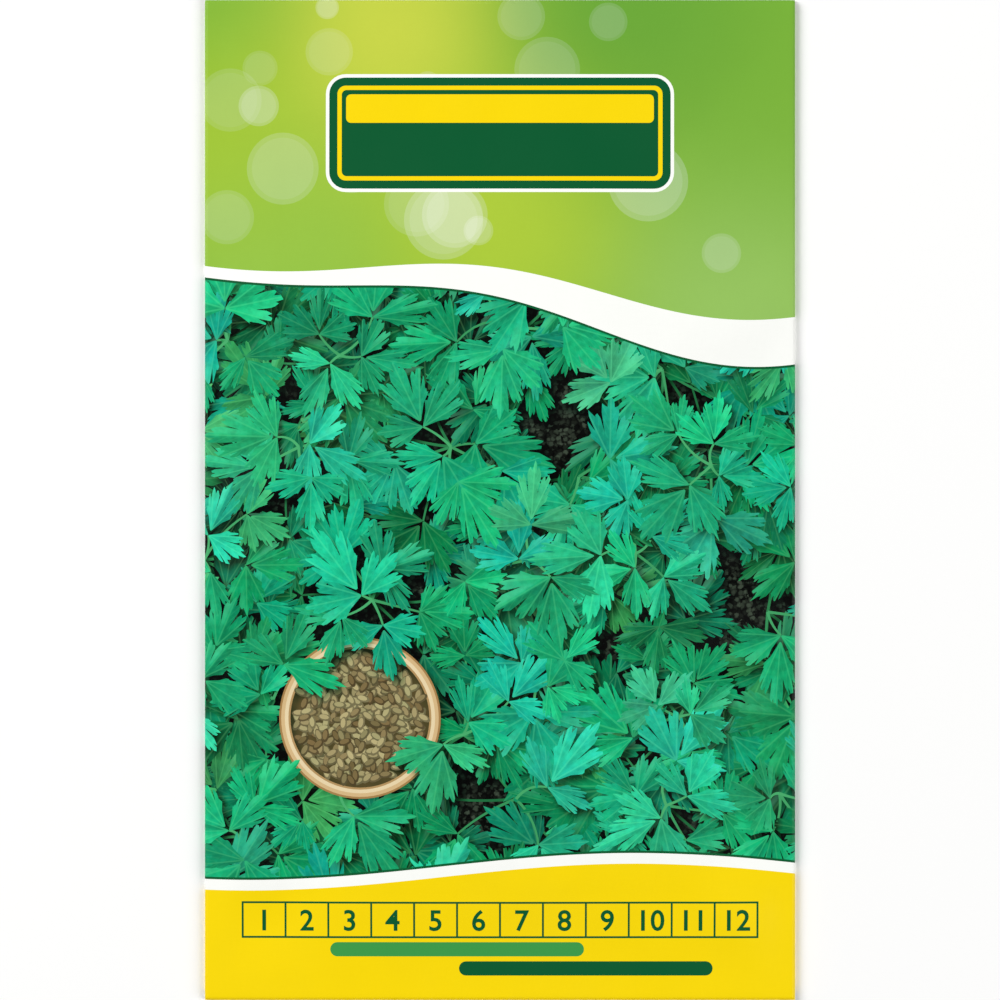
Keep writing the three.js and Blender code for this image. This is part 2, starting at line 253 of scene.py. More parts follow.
@dataclass(frozen=True)
class Packet:
    """The folded sheet: its driving sizes in millimetres, and the surfaces that follow from them."""

    width: float = 95.0
    height: float = 161.0
    sheet: float = 0.2
    glue_gap: float = 0.06
    edge_height: float = 1.3
    belly_height: float = 3.2
    side_flap: float = 12.0
    bottom_flap: float = 16.0
    top_flap: float = 20.0
    flap_taper: float = 0.1
    side_flap_taper: float = 0.035
    notch: float = 0.8
    back_inset: float = 0.6
    seam_step: float = 2.5
    belly_powers: tuple[float, float, float] = (0.9, 1.6, 1.35)
    belly_end_blend: float = 0.12
    sag_centre_y: float = -10.0
    sag_half: Pair = (30.0, 44.0)
    sag_blend: float = 12.0
    slope_step: float = 0.05
    corner_blend: float = 0.02
    relief: Relief = Relief()

    @property
    def seam_level(self) -> float:
        """Height of the sheet's second layer above the surface."""
        return self.sheet + self.glue_gap

    @property
    def side_radius(self) -> float:
        """Outer radius of the two long folds."""
        return (self.edge_height - self.seam_level) / 2

    @property
    def end_radius(self) -> float:
        """Outer radius of the two short folds."""
        return self.edge_height / 2

    @property
    def half_x(self) -> float:
        """Half the width of the front panel, up to where its long folds start."""
        return self.width / 2 - self.side_radius

    @property
    def half_y(self) -> float:
        """Half the height of the front panel, up to where its short folds start."""
        return self.height / 2 - self.end_radius

    @property
    def seam_x(self) -> float:
        """Where the side flap's free edge lies, under the back panel."""
        return -self.half_x + self.side_flap

    def belly(self, x: Array, y: Array) -> Array:
        """Lift over the seeds: a low-set hump along y times a flat-topped arch across x.

        Args:
            x, y: Places across and along the packet.

        Returns:
            Heights above the front's edges.
        """
        low, high, side = self.belly_powers
        across = np.minimum(1.0, np.abs(x) / self.half_x)
        along = np.clip(0.5 + y / (2 * self.half_y), 0.0, 1.0)
        peak = low / (low + high)
        hump = along**low * (1 - along) ** high / (peak**low * (1 - peak) ** high)
        ends = ease(along / self.belly_end_blend) * ease((1 - along) / self.belly_end_blend)
        return self.belly_height * (1 - across**2) ** side * ends * hump

    def front_height(self, x: Array, y: Array) -> Array:
        """Height of the printed front: its edges, the belly, and the relief away from the edges.

        Args:
            x, y: Places across and along the packet.

        Returns:
            Heights above the surface.
        """
        shape = self.relief
        inward = np.minimum(self.half_x - np.abs(x), self.half_y - np.abs(y))
        fade = ease(inward / shape.edge_fade)
        small = shape.dents(x, y) + shape.puckers(x, y, self.half_x, self.half_y)
        small += shape.creases(x, y, self.half_x, self.half_y)
        top_edge = self.half_y - self.top_flap
        low_edge = -self.half_y + self.bottom_flap
        laps = ease((y - top_edge) / shape.flap_blend) + ease((low_edge - y) / shape.flap_blend)
        laps += ease((self.seam_x - x) / shape.flap_blend)
        return self.edge_height + self.belly(x, y) + fade * (small + shape.flap_step * np.minimum(laps, 1))

    def back_height(self, x: Array, y: Array) -> Array:
        """Height of the back's outer face: over the side flap, then lower, and sagging under the seeds.

        Args:
            x, y: Places across and along the packet.

        Returns:
            Heights above the surface.
        """
        step = 1 - ease((x - self.seam_x - self.glue_gap) / self.seam_step)
        in_width = ease((self.sag_half[0] - np.abs(x)) / self.sag_blend)
        in_height = ease((self.sag_half[1] - np.abs(y - self.sag_centre_y)) / self.sag_blend)
        return self.seam_level * (1 - in_width * in_height + step)

    def normals(self, height: Callable[[Array, Array], Array], x: Array, y: Array, side: float) -> Array:
        """Unit normals of a height field, from the differences over a short step.

        Args:
            height: The height as a function of x and y.
            x, y: Places across and along the packet.
            side: 1 for normals that point up, -1 for down.

        Returns:
            One normal for each place.
        """
        d = self.slope_step
        slope_x = (height(x + d, y) - height(x - d, y)) / (2 * d)
        slope_y = (height(x, y + d) - height(x, y - d)) / (2 * d)
        out = np.stack([-slope_x, -slope_y, np.ones_like(x)], axis=-1)
        return side * out / np.linalg.norm(out, axis=-1, keepdims=True)

    def fold_front(self, flat: Array) -> tuple[Array, Array]:
        """Folds the flat front: the panel follows its height, and the paper past an edge turns round the
        fold, by an angle that is its distance past the edge over the fold's radius.

        At a corner both turns add up, so the paper closes over it.

        Args:
            flat: Places on the unfolded sheet.

        Returns:
            Places and normals of the outer face.
        """
        x, y = flat.T
        turn_x = np.maximum(np.abs(x) - self.half_x, 0) / self.side_radius
        turn_y = np.maximum(np.abs(y) - self.half_y, 0) / self.end_radius
        on_x = np.clip(x, -self.half_x, self.half_x)
        on_y = np.clip(y, -self.half_y, self.half_y)
        drop = self.side_radius * (1 - np.cos(turn_x)) + self.end_radius * (1 - np.cos(turn_y))
        out_x = on_x + np.sign(x) * self.side_radius * np.sin(turn_x)
        out_y = on_y + np.sign(y) * self.end_radius * np.sin(turn_y)
        place = np.stack([out_x, out_y, self.front_height(on_x, on_y) - drop], axis=-1)
        bent_x = np.sign(x) * np.sin(turn_x) * np.maximum(np.cos(turn_y), self.corner_blend)
        bent_y = np.sign(y) * np.sin(turn_y) * np.maximum(np.cos(turn_x), self.corner_blend)
        bent = np.stack([bent_x, bent_y, np.cos(turn_x) * np.cos(turn_y)], axis=-1)
        bent /= np.linalg.norm(bent, axis=-1, keepdims=True)
        past = (turn_x > 0) | (turn_y > 0)
        return place, np.where(past[:, None], bent, self.normals(self.front_height, on_x, on_y, 1.0))

    def fold_back(self, flat: Array) -> tuple[Array, Array]:
        """Lays the back panel at its height, facing down.

        Args:
            flat: Places on the panel, in the packet's x and y.

        Returns:
            Places and normals of the outer face.
        """
        x, y = flat.T
        place = np.stack([x, y, self.back_height(x, y)], axis=-1)
        return place, self.normals(self.back_height, x, y, -1.0)

    def lay_flat(self, level: float) -> Callable[[Array], tuple[Array, Array]]:
        """Gives the fold of a flap that lies flat.

        Args:
            level: Height of the flap's outer face.

        Returns:
            A function from flat places to places and normals, facing down.
        """

        def fold(flat: Array) -> tuple[Array, Array]:
            """Places at the level and normals that point down."""
            place = np.column_stack([flat, np.full(len(flat), level)])
            out = np.zeros_like(place)
            out[:, 2] = -1.0
            return place, out

        return fold


# Printing


@dataclass
class PrintPlan:
    """Printed outlines in the order in which they are laid down. The first one is the paper itself."""

    outlines: list[Array] = field(default_factory=list)
    kinds: list[Kind] = field(default_factory=list)
    inks: list[Ink] = field(default_factory=list)
    heights: list[float] = field(default_factory=list)
    frames: list[tuple[float, ...]] = field(default_factory=list)
    longest_side: float = 1.6

    def lay(
        self,
        outline: Array,
        kind: Kind,
        colour: Ink,
        height: float = 0.0,
        frame_of: tuple[float, ...] = (0, 0, 0, 1, 1, 1, 0),
    ) -> None:
        """Lays one outline over those before it.

        Args:
            outline: Its points, in millimetres on the flat sheet.
            kind: What it shows.
            colour: Its ink in linear light, or for a glow how much light it adds.
            height: How high the drawn thing stands in the picture, from 0 to 1.
            frame_of: A leaflet's base, direction, length, width and fold: x, y, x, y, length, width, fold.
        """
        points = np.asarray(outline, float)
        if kind not in (Kind.LEAF, Kind.STEM):
            points = dense(points, self.longest_side)
        x, y = points.T
        clockwise = x @ np.roll(y, -1) < y @ np.roll(x, -1)
        self.outlines.append(points[:: -1 if clockwise else 1])
        self.kinds.append(kind)
        self.inks.append(colour)
        self.heights.append(height)
        self.frames.append(frame_of)

    def plain(self, outline: Array, code: str) -> None:
        """Lays one outline in an even ink, given as a colour code."""
        self.lay(outline, Kind.PLAIN, ink(code))

    def seen(self, covers: list[list[int]]) -> Array:
        """Finds what shows over each triangle.

        Args:
            covers: For each triangle, the numbers of the outlines that cover it.

        Returns:
            For each triangle the last laid outline that is no glow, or -1 off the sheet, and the light
            that all glows over it add.
        """
        cover, owner = flattened(covers)
        glows = np.array([kind == Kind.GLOW for kind in self.kinds])
        top = np.zeros(len(covers))
        np.maximum.at(top, owner, np.where(glows[cover], 0, cover))
        on_sheet = np.zeros(len(covers), bool)
        on_sheet[owner[cover == 0]] = True
        light = np.array(self.inks)[:, 0] * glows
        glow = np.bincount(owner, light[cover], len(covers))
        return np.column_stack([np.where(on_sheet, top, -1), np.where(on_sheet, glow.round(6), 0)])


def dense(outline: Array, step: float) -> Array:
    """Adds points on an outline's long sides, so that the paper can bend along them.

    Args:
        outline: The outline's points.
        step: Longest side that is left.

    Returns:
        The same outline with more points.
    """
    side = np.roll(outline, -1, axis=0) - outline
    counts = np.maximum(1, np.ceil(np.linalg.norm(side, axis=1) / step)).astype(int)
    start = np.repeat(np.arange(len(outline)), counts)
    number = np.arange(len(start)) - (np.cumsum(counts) - counts)[start]
    return outline[start] + side[start] * (number / counts[start])[:, None]


def flattened(lists: list) -> tuple[Array, Array]:
    """Flattens lists of numbers.

    Args:
        lists: The lists.

    Returns:
        All their numbers in a row, and the place of each one's list.
    """
    sizes = np.fromiter(map(len, lists), int, len(lists))
    values = np.fromiter(chain.from_iterable(lists), int, sizes.sum())
    return values, np.repeat(np.arange(len(lists)), sizes)


def found(keys: Array, wanted: Array) -> tuple[Array, Array]:
    """Looks numbers up.

    Args:
        keys: Numbers, each of them once.
        wanted: Numbers to find.

    Returns:
        The place of each wanted number among the keys, and whether it is really there.
    """
    order = np.argsort(keys)
    at = order[np.minimum(np.searchsorted(keys, wanted, sorter=order), len(keys) - 1)]
    return at, keys[at] == wanted


def directed(triangles: Array, count: int) -> tuple[Array, Array, Array]:
    """The triangles' edges, one row each, with a number for each edge and for its way back."""
    edges = triangles[:, [0, 1, 1, 2, 2, 0]].reshape(-1, 2)
    return edges, edges[:, 0] * count + edges[:, 1], edges[:, 1] * count + edges[:, 0]


def run_edges(runs: list[Array], first: int) -> list[tuple[int, int]]:
    """Edges along runs of points that are numbered on from the first."""
    starts = first + np.cumsum([0, *map(len, runs)])
    return [(k, k + 1) for a, b in zip(starts.tolist(), starts[1:].tolist()) for k in range(a, b - 1)]


def grid_in(outline: Array, step: float) -> Array:
    """Square grid of points inside an outline's box, without the box's own border.

    Args:
        outline: The outline.
        step: Distance between neighbours, about.

    Returns:
        The points.
    """
    low, high = outline.min(axis=0), outline.max(axis=0)
    counts = np.maximum(2, np.round((high - low) / step).astype(int))
    axes = [np.linspace(a, b, n + 1)[1:-1] for a, b, n in zip(low, high, counts)]
    return np.stack(np.meshgrid(*axes), axis=-1).reshape(-1, 2)


def triangulate(points: Array, edges: list, faces: list) -> tuple[Array, Array, tuple]:
    """Fills the plane between edges and faces with triangles.

    Args:
        points: All points.
        edges: Pairs of point numbers that stay edges.
        faces: Rings of point numbers whose sides stay edges.

    Returns:
        Points, anticlockwise triangles, and Blender's full answer with the sources of both.
    """
    made = delaunay_2d_cdt(list(map(Vector, points.tolist())), edges, faces, 1, SAME_PLACE, True)
    places = np.array([tuple(v) for v in made[0]])
    triangles = np.array(made[2])
    a, b, c = (places[triangles[:, k]] for k in range(3))
    turned = np.cross(b - a, c - a) < 0
    triangles[turned] = triangles[turned][:, ::-1]
    return places, triangles, made


@dataclass(frozen=True)
class Walls:
    """Edges between unlike looks, with the look on either side. OUTSIDE marks what is off the sheet."""

    edges: Array
    left: Array
    right: Array
    OUTSIDE: ClassVar[int] = -1
    UNKNOWN: ClassVar[int] = -2

    @classmethod
    def between(cls, triangles: Array, look: Array, count: int) -> "Walls":
        """Finds the edges where the look changes.

        Args:
            triangles: The triangles.
            look: One look for each triangle.
            count: How many points there are.

        Returns:
            The walls, each edge once.
        """
        edges, key, back = directed(triangles, count)
        left = np.repeat(look, 3)
        at, paired = found(key, back)
        right = np.where(paired, left[at], cls.OUTSIDE)
        kept = (left != right) & (~paired | (edges[:, 0] < edges[:, 1]))
        return cls(edges[kept], left[kept], right[kept])

    def moved(self, old: Array, new: Array, made: tuple) -> "Walls":
        """Follows the walls into a new triangulation, in which each may lie in several pieces.

        Args:
            old: Points that the walls' edges number, as they went in.
            new: Points that came out.
            made: Blender's full answer, with the source of each edge.

        Returns:
            The walls in the new points' numbers.
        """
        source, piece = flattened(made[4])
        kept = source < len(self.edges)
        source, edges = source[kept], np.array(made[1])[piece[kept]]
        run = new[edges[:, 1]] - new[edges[:, 0]]
        old_run = old[self.edges[source, 1]] - old[self.edges[source, 0]]
        same = (run * old_run).sum(axis=1) > 0
        left, right = self.left[source], self.right[source]
        return Walls(edges, np.where(same, left, right), np.where(same, right, left))

    def looks(self, triangles: Array, count: int) -> Array:
        """Carries the looks from the walls into all triangles between them, ring after ring.

        Args:
            triangles: The triangles.
            count: How many points there are.

        Returns:
            One look for each triangle.
        """
        _, key, back = directed(triangles, count)
        _, ahead, behind = directed(np.column_stack([self.edges, self.edges[:, 0]]), count)
        wall_key = np.concatenate([ahead[::3], behind[::3]])
        wall_look = np.concatenate([self.left, self.right])
        at, walled = found(wall_key, key)
        look = np.where(walled, wall_look[at], self.UNKNOWN).reshape(-1, 3).max(axis=1)
        at, paired = found(key, back)
        beyond = at // 3
        shut = walled | ~paired
        while (look == self.UNKNOWN).any():
            near = np.where(shut, self.UNKNOWN, look[beyond]).reshape(-1, 3).max(axis=1)
            wider = np.maximum(look, near)
            if np.array_equal(wider, look):
                log.warning("%d triangles have no look", (look == self.UNKNOWN).sum())
                break
            look = wider
        return look


@dataclass(frozen=True)
class Cut:
    """A flat sheet cut into triangles, each within one shape that shows, and the light that glows add."""

    points: Array
    triangles: Array
    top: Array
    glow: Array

    @classmethod
    def of(cls, plan: PrintPlan, lines: list[Array], step: float) -> "Cut":
        """Cuts the sheet along what shows of its print.

        A first cut along all outlines finds which of them lies on top where. The second is made only
        along edges where that changes. A square grid of points keeps every triangle small enough to
        follow the paper's curves.

        Args:
            plan: The outlines.
            lines: Runs of points along which the paper folds.
            step: Distance between grid points.

        Returns:
            The cut sheet.
        """
        shapes = [*plan.outlines, *lines]
        starts = np.cumsum([0, *map(len, shapes)]).tolist()
        count = len(plan.outlines)
        faces = [list(range(a, b)) for a, b in zip(starts, starts[1 : count + 1])]
        grid = grid_in(plan.outlines[0], step)
        everything = np.concatenate([*shapes, grid])
        points, triangles, made = triangulate(everything, run_edges(lines, starts[count]), faces)
        seen, look = np.unique(plan.seen(made[5]), axis=0, return_inverse=True)
        look = np.where(seen[look.ravel(), 0] < 0, Walls.OUTSIDE, look.ravel())
        walls = Walls.between(triangles, look, len(points))
        used, ends = np.unique(walls.edges, return_inverse=True)
        walls = Walls(ends.reshape(-1, 2), walls.left, walls.right)
        edges = [*map(tuple, walls.edges.tolist()), *run_edges(lines, len(used))]
        old = points[used]
        points, triangles, made = triangulate(np.concatenate([old, *lines, grid]), edges, [])
        look = walls.moved(old, points, made).looks(triangles, len(points))
        kept = look >= 0
        used, triangles = np.unique(triangles[kept], return_inverse=True)
        top, glow = seen[look[kept]].T
        return cls(points[used], triangles.reshape(-1, 3), top.astype(int), glow)

    def rim(self) -> Array:
        """Edges with a triangle on one side only, in the direction in which that triangle runs."""
        edges, key, back = directed(self.triangles, len(self.points))
        return edges[~np.isin(key, back)]


@dataclass(frozen=True)
class SoftWash:
    """An out-of-focus field of light: the mean of a base ink and of glows, each weighed by its bell."""

    base: str = "#7DB53B"
    base_weight: float = 0.5
    glows: tuple[tuple[float, float, float, str], ...] = (
        (-19.0, 75.0, 11.0, "#E2E14F"),
        (-45.0, 60.0, 12.0, "#AFCB33"),
        (-36.0, 40.0, 11.0, "#9CC64C"),
        (0.0, 46.0, 13.0, "#BFD43B"),
        (22.0, 76.0, 13.0, "#5C9D36"),
        (43.0, 60.0, 14.0, "#7CB23B"),
        (40.0, 32.0, 13.0, "#A3CB70"),
        (-47.0, 82.0, 10.0, "#79B23C"),
    )

    def ink_at(self, x: Array, y: Array) -> Array:
        """Ink at each place.

        Args:
            x: Places across the sheet.
            y: Places along the sheet.

        Returns:
            One row of red, green and blue for each place.
        """
        weight = np.full(len(x), self.base_weight)
        total = weight[:, None] * np.array(ink(self.base))
        for at_x, at_y, radius, code in self.glows:
            share = bell(np.hypot(x - at_x, y - at_y) / radius)
            weight = weight + share
            total = total + share[:, None] * np.array(ink(code))
        return total / weight[:, None]


@dataclass(frozen=True)
class PictureLight:
    """How the drawn picture is lit: from the upper left, with what stands higher shading what is lower."""

    towards: Pair = (-0.62, 0.78)
    shadow_offset: float = 1.0
    blur: float = 0.75
    bin_size: float = 0.4
    shadow_span: float = 0.32
    shadow_depth: float = 0.86
    soil_height: float = -0.15
    low_tone: float = 0.32
    high_tone: float = 1.14
    dark_tint: tuple[float, float, float] = (1.6, 1.0, 1.15)

    def shade(self, cut: Cut, heights: Array, drawn: Array) -> Array:
        """Shades each corner by how far the blurred heights towards the light stand above its own.

        Args:
            cut: The cut sheet.
            heights: Height of what each triangle shows.
            drawn: Whether the triangle is part of the picture.

        Returns:
            Factors from dark to 1, one for each corner of each triangle.
        """
        a, b, c = (cut.points[cut.triangles[:, k]] for k in range(3))
        area = np.abs(np.cross(b - a, c - a)) * drawn
        middle = (a + b + c) / 3
        low = cut.points.min(axis=0) - 4 * self.blur
        shape = np.ceil((cut.points.max(axis=0) + 4 * self.blur - low) / self.bin_size).astype(int)
        span = [(low[k], low[k] + shape[k] * self.bin_size) for k in range(2)]
        weight, total = (
            self.blurred(np.histogram2d(*middle.T, bins=shape, range=span, weights=w)[0])
            for w in (area, area * heights)
        )
        around = total / np.maximum(weight, 1e-9)
        offset = self.shadow_offset * np.array(self.towards)
        cells = (cut.points[cut.triangles] + offset - low) / self.bin_size - 0.5
        rise = self.sampled(around, cells) - heights[:, None]
        return 1 - self.shadow_depth * ease(rise / self.shadow_span)

    def blurred(self, values: Array) -> Array:
        """Blurs a grid with a bell, by scaling each of its waves by the bell's own transform.

        Args:
            values: The grid.

        Returns:
            The blurred grid, of the same shape.
        """
        rows, columns = values.shape
        waves = np.meshgrid(np.fft.fftfreq(rows), np.fft.rfftfreq(columns), indexing="ij")
        spread = 2 * (np.pi * self.blur / self.bin_size) ** 2
        kept = np.exp(-spread * (waves[0] ** 2 + waves[1] ** 2))
        return np.fft.irfft2(np.fft.rfft2(values) * kept, values.shape)

    @staticmethod
    def sampled(grid: Array, cells: Array) -> Array:
        """Reads a grid between its cells, as the mean of the four nearest weighed by closeness.

        Args:
            grid: The grid.
            cells: Places to read, counted in cells.

        Returns:
            One value for each place.
        """
        base = np.clip(np.floor(cells).astype(int), 0, np.array(grid.shape) - 2)
        part = np.clip(cells - base, 0, 1)
        i, j = base[..., 0], base[..., 1]
        s, t = part[..., 0], part[..., 1]
        near = grid[i, j] * (1 - t) + grid[i, j + 1] * t
        far = grid[i + 1, j] * (1 - t) + grid[i + 1, j + 1] * t
        return near * (1 - s) + far * s


# Drawn motifs


@dataclass(frozen=True)
class LeafletShape:
    """A flat-leaf herb's leaflet: a wedge on its base whose wide end is cut into lobes and small teeth.

    The outline goes round the base in polar steps. Its radius is an envelope that falls away from the
    middle vein. Each tooth has a notch, a tip and a shoulder, and some notches are slits between lobes.
    """

    fan: float = 0.76
    side_teeth: int = 5
    lobe_teeth: float = 3.3
    drop: float = 0.46
    drop_power: float = 1.6
    tooth_places: tuple[float, ...] = (0.0, 0.24, 0.52, 0.8)
    tooth_cuts: tuple[float, ...] = (0.13, 0.035, 0.0, 0.045)
    slits: tuple[tuple[int, float], ...] = ((1, 0.4), (3, 0.3))
    slit_part: Pair = (0.3, 1.1)
    tip_shoulder: float = 0.28
    lobe_rise: float = 0.24
    turn_uneven: float = 0.008
    uneven: float = 0.03
    waist: Pair = (0.17, 0.22)
    foot: float = 0.014

    def half_profile(self) -> tuple[Array, Array, Array]:
        """One half of the rim, from the tip of the middle tooth outwards.

        Returns:
            Angles in teeth, how far each point is cut in, and how deep the slits reach.
        """
        first = 0.5 + np.arange(self.side_teeth)
        place = np.concatenate([[0.0, self.tip_shoulder], (first[:, None] + self.tooth_places).ravel()])
        cut = np.concatenate([[0.0, self.tooth_cuts[-1]], np.tile(self.tooth_cuts, self.side_teeth)])
        slit = np.zeros_like(cut)
        for number, depth in self.slits:
            slit[2 + len(self.tooth_cuts) * number] = depth
        return place, cut, slit

    def outlines(self, count: int, rng: Random) -> Array:
        """Outlines of leaflets of length 1 that point along y from a base at the origin.

        Args:
            count: How many leaflets.
            rng: Seeded random numbers.

        Returns:
            An array of leaflets by points by x and y.
        """
        place, cut, slit = self.half_profile()
        place = np.concatenate([-place[:0:-1], place])
        cut, slit = (np.concatenate([part[:0:-1], part]) for part in (cut, slit))
        angle = self.fan * place / (self.side_teeth + 0.5)
        envelope = 1 - self.drop * np.abs(angle / self.fan) ** self.drop_power
        lobes = 1 - self.lobe_rise * (1 - np.abs(np.cos(np.pi * place / self.lobe_teeth)))
        depth = slit * rng.uniform(*self.slit_part, (count, 1))
        grown = rng.normal(0.0, self.uneven, (count, len(place))) * (cut < self.tooth_cuts[0])
        radius = envelope * lobes * (1 - cut + grown) * (1 - depth)
        angle = angle + rng.normal(0.0, self.turn_uneven, (count, len(place)))
        rim = np.stack([radius * np.sin(angle), radius * np.cos(angle)], axis=-1)
        side, up = self.waist
        base = [[side, up], [self.foot, 0.0], [-self.foot, 0.0], [-side, up]]
        return np.concatenate([rim, np.broadcast_to(base, (count, 4, 2))], axis=1)[:, ::-1]


@dataclass(frozen=True)
class SeedBowl:
    """A shallow wooden bowl of seeds, drawn from above: turned rings round a heap of small ovals."""

    x: float = -22.5
    y: float = -35.0
    radius: float = 13.0
    rings: tuple[tuple[float, str, float], ...] = (
        (1.0, "#B98A55", 0.66),
        (0.975, "#E3BE8B", 0.72),
        (0.93, "#F3DAB0", 0.74),
        (0.885, "#C79C68", 0.66),
        (0.86, "#8E673F", 0.42),
    )
    heap: float = 0.8
    seed_half: Pair = (1.15, 0.56)
    seed_gap: float = 1.15
    seed_shift: float = 0.3
    ring_points: int = 72
    seed_points: int = 10
    seed_inks: tuple[str, str] = ("#8D7048", "#D9C08C")
    lit_part: float = 0.7
    lit_shift: float = 0.14
    shaded: float = 0.42
    seed_height: Pair = (0.5, 0.12)
    random_start: int = 515

    def draw(self, plan: PrintPlan, light: Pair) -> None:
        """Lays the rings from the outside in, then the seeds, each with a lit part inside a darker rim.

        Args:
            plan: Where the outlines go.
            light: Direction towards the picture's light.
        """
        for share, code, height in self.rings:
            ring = circle(self.x, self.y, share * self.radius, self.ring_points)
            plan.lay(ring, Kind.THING, ink(code), height)
        rng = np.random.default_rng(self.random_start)
        reach = self.heap * self.radius
        places = hex_places((reach, reach), self.seed_gap, self.seed_shift, rng)
        places = places[np.hypot(*places.T) < reach] + [self.x, self.y]
        shift = self.lit_shift * np.array(light)
        low, rise = self.seed_height
        inks = np.array([ink(code) for code in self.seed_inks]).T
        round_seed = circle(0, 0, 1, self.seed_points) * self.seed_half
        for place in rng.permutation(places):
            tone = inks @ rng.dirichlet([0.8, 0.8])
            oval = turned(round_seed, rng.uniform(0, np.pi))
            height = low + rng.uniform(0, rise)
            plan.lay(oval + place, Kind.THING, tuple(self.shaded * tone), height)
            plan.lay(self.lit_part * oval + place + shift, Kind.THING, tuple(tone), height)

    def away(self, places: Array) -> Array:
        """Distance of places from the bowl's middle, in radii."""
        return np.hypot(*(places - [self.x, self.y]).T) / self.radius


@dataclass(frozen=True)
class HerbBed:
    """A bed of herb plants from above: rosettes of long-stalked, three-part leaves over dark soil."""

    plant_spacing: float = 22.0
    plant_shift: float = 0.24
    border: float = 8.0
    leaves: int = 13
    stalk_short: float = 2.0
    stalk_long: float = 15.5
    stalk_power: float = 0.8
    stalk_sizes: Pair = (0.85, 1.15)
    stalk_width: float = 0.38
    stalk_points: int = 8
    stalk_taper: Pair = (0.62, 0.22)
    stalk_sink: float = 0.42
    stalk_dip: float = 0.15
    stalk_bend: float = 0.16
    overhang: float = 0.7
    leaf_heights: tuple[float, float, float] = (0.95, 0.8, 0.17)
    leaf_lowest: float = 0.03
    leaf_sizes: Pair = (0.72, 1.12)
    leaf_turn: float = 0.55
    leaflet_length: float = 10.6
    leaflet_turn: float = 0.14
    leaflet_lengths: Pair = (0.78, 1.06)
    leaflet_widths: Pair = (0.66, 1.12)
    leaflet_stems: Pair = (0.1, 0.01)
    bright: Pair = (0.76, 1.24)
    side_leaflet: float = 0.9
    side_angle: float = 1.22
    golden_angle: float = 2.39996
    gaps: tuple[tuple[float, float, float], ...] = ((-3.0, -46.0, 7.0), (9.0, 10.0, 7.5), (38.0, -14.0, 8.5))
    bowl: SeedBowl = SeedBowl()
    bowl_height: float = 0.7
    bowl_clear: float = 1.05
    shape: LeafletShape = LeafletShape()
    greens: tuple[tuple[str, float], ...] = (
        ("#00844A", 0.6),
        ("#00A966", 1.3),
        ("#20BE94", 0.34),
        ("#5FBC60", 0.18),
        ("#00A88C", 0.5),
    )
    bloom: str = "#38C496"
    bloom_share: float = 0.16
    stalk: str = "#49AC6C"
    soil: str = "#4A3E37"
    random_start: int = 7301

    def leaf_inks(self, height: Array, rng: Random) -> Array:
        """Draws an ink for each leaf, as a random mean of the named greens. High leaves are paler.

        Args:
            height: Height of each leaf.
            rng: Seeded random numbers.

        Returns:
            One row of red, green and blue for each leaf.
        """
        share = rng.dirichlet([0.5 * weight for _, weight in self.greens], len(height))
        inks = share @ np.array([ink(code) for code, _ in self.greens])
        bloom = (self.bloom_share * height**2)[:, None]
        return inks * (1 - bloom) + np.array(ink(self.bloom)) * bloom

    def draw(self, plan: PrintPlan, low: Pair, high: Pair, light: Pair) -> None:
        """Lays the plants between two corners, the lowest leaves and stalks first.

        Each plant's leaves turn by the golden angle. Later leaves have longer stalks and lie lower, and
        each carries one leaflet ahead and one to either side. No leaf stands in a gap.

        Args:
            plan: Where the outlines go.
            low: Lowest x and y of the bed.
            high: Highest x and y of the bed.
            light: Direction towards the picture's light.
        """
        rng = np.random.default_rng(self.random_start)
        middle = (np.array(low) + high) / 2
        half = (np.array(high) - low) / 2
        plants = middle + hex_places(tuple(half + self.border), self.plant_spacing, self.plant_shift, rng)
        centre = np.repeat(plants, self.leaves, axis=0)
        number = np.tile(np.arange(self.leaves), len(plants))
        turn = np.repeat(rng.uniform(0, 2 * np.pi, len(plants)), self.leaves) + number * self.golden_angle
        order = number / (self.leaves - 1)
        length = self.stalk_short + (self.stalk_long - self.stalk_short) * order**self.stalk_power
        length = length * rng.uniform(*self.stalk_sizes, len(order))
        node = centre + length[:, None] * np.stack([np.cos(turn), np.sin(turn)], axis=-1)
        wanted = (np.abs(node - middle) < half + self.overhang * self.leaflet_length).all(axis=1)
        for x, y, radius in self.gaps:
            wanted &= np.hypot(*(node - [x, y]).T) > radius
        wanted &= self.bowl.away(node) > self.bowl_clear
        centre, node, turn, order = (part[wanted] for part in (centre, node, turn, order))
        count = len(order)
        top, fall, uneven = self.leaf_heights
        height = np.clip(top - fall * order + rng.normal(0, uneven, count), self.leaf_lowest, 1)
        bend = rng.normal(0, self.stalk_bend, count)
        size = self.leaflet_length * rng.uniform(*self.leaf_sizes, count)
        heading = turn + rng.normal(0, self.leaf_turn, count)
        outlines, frames, inks = self.leaflets(node, heading, size, self.leaf_inks(height, rng), light, rng)
        heights = np.concatenate([height - self.stalk_sink, np.repeat(height, 3), [self.bowl_height]])
        for k in np.argsort(heights):
            if k == 4 * count:
                self.bowl.draw(plan, light)
            elif k < count:
                stalk = self.stalk_outline(centre[k], node[k], bend[k])
                plan.lay(stalk, Kind.STEM, ink(self.stalk), max(0.0, height[k] - self.stalk_dip))
            else:
                row = k - count
                plan.lay(outlines[row], Kind.LEAF, tuple(inks[row]), heights[k], tuple(frames[row]))

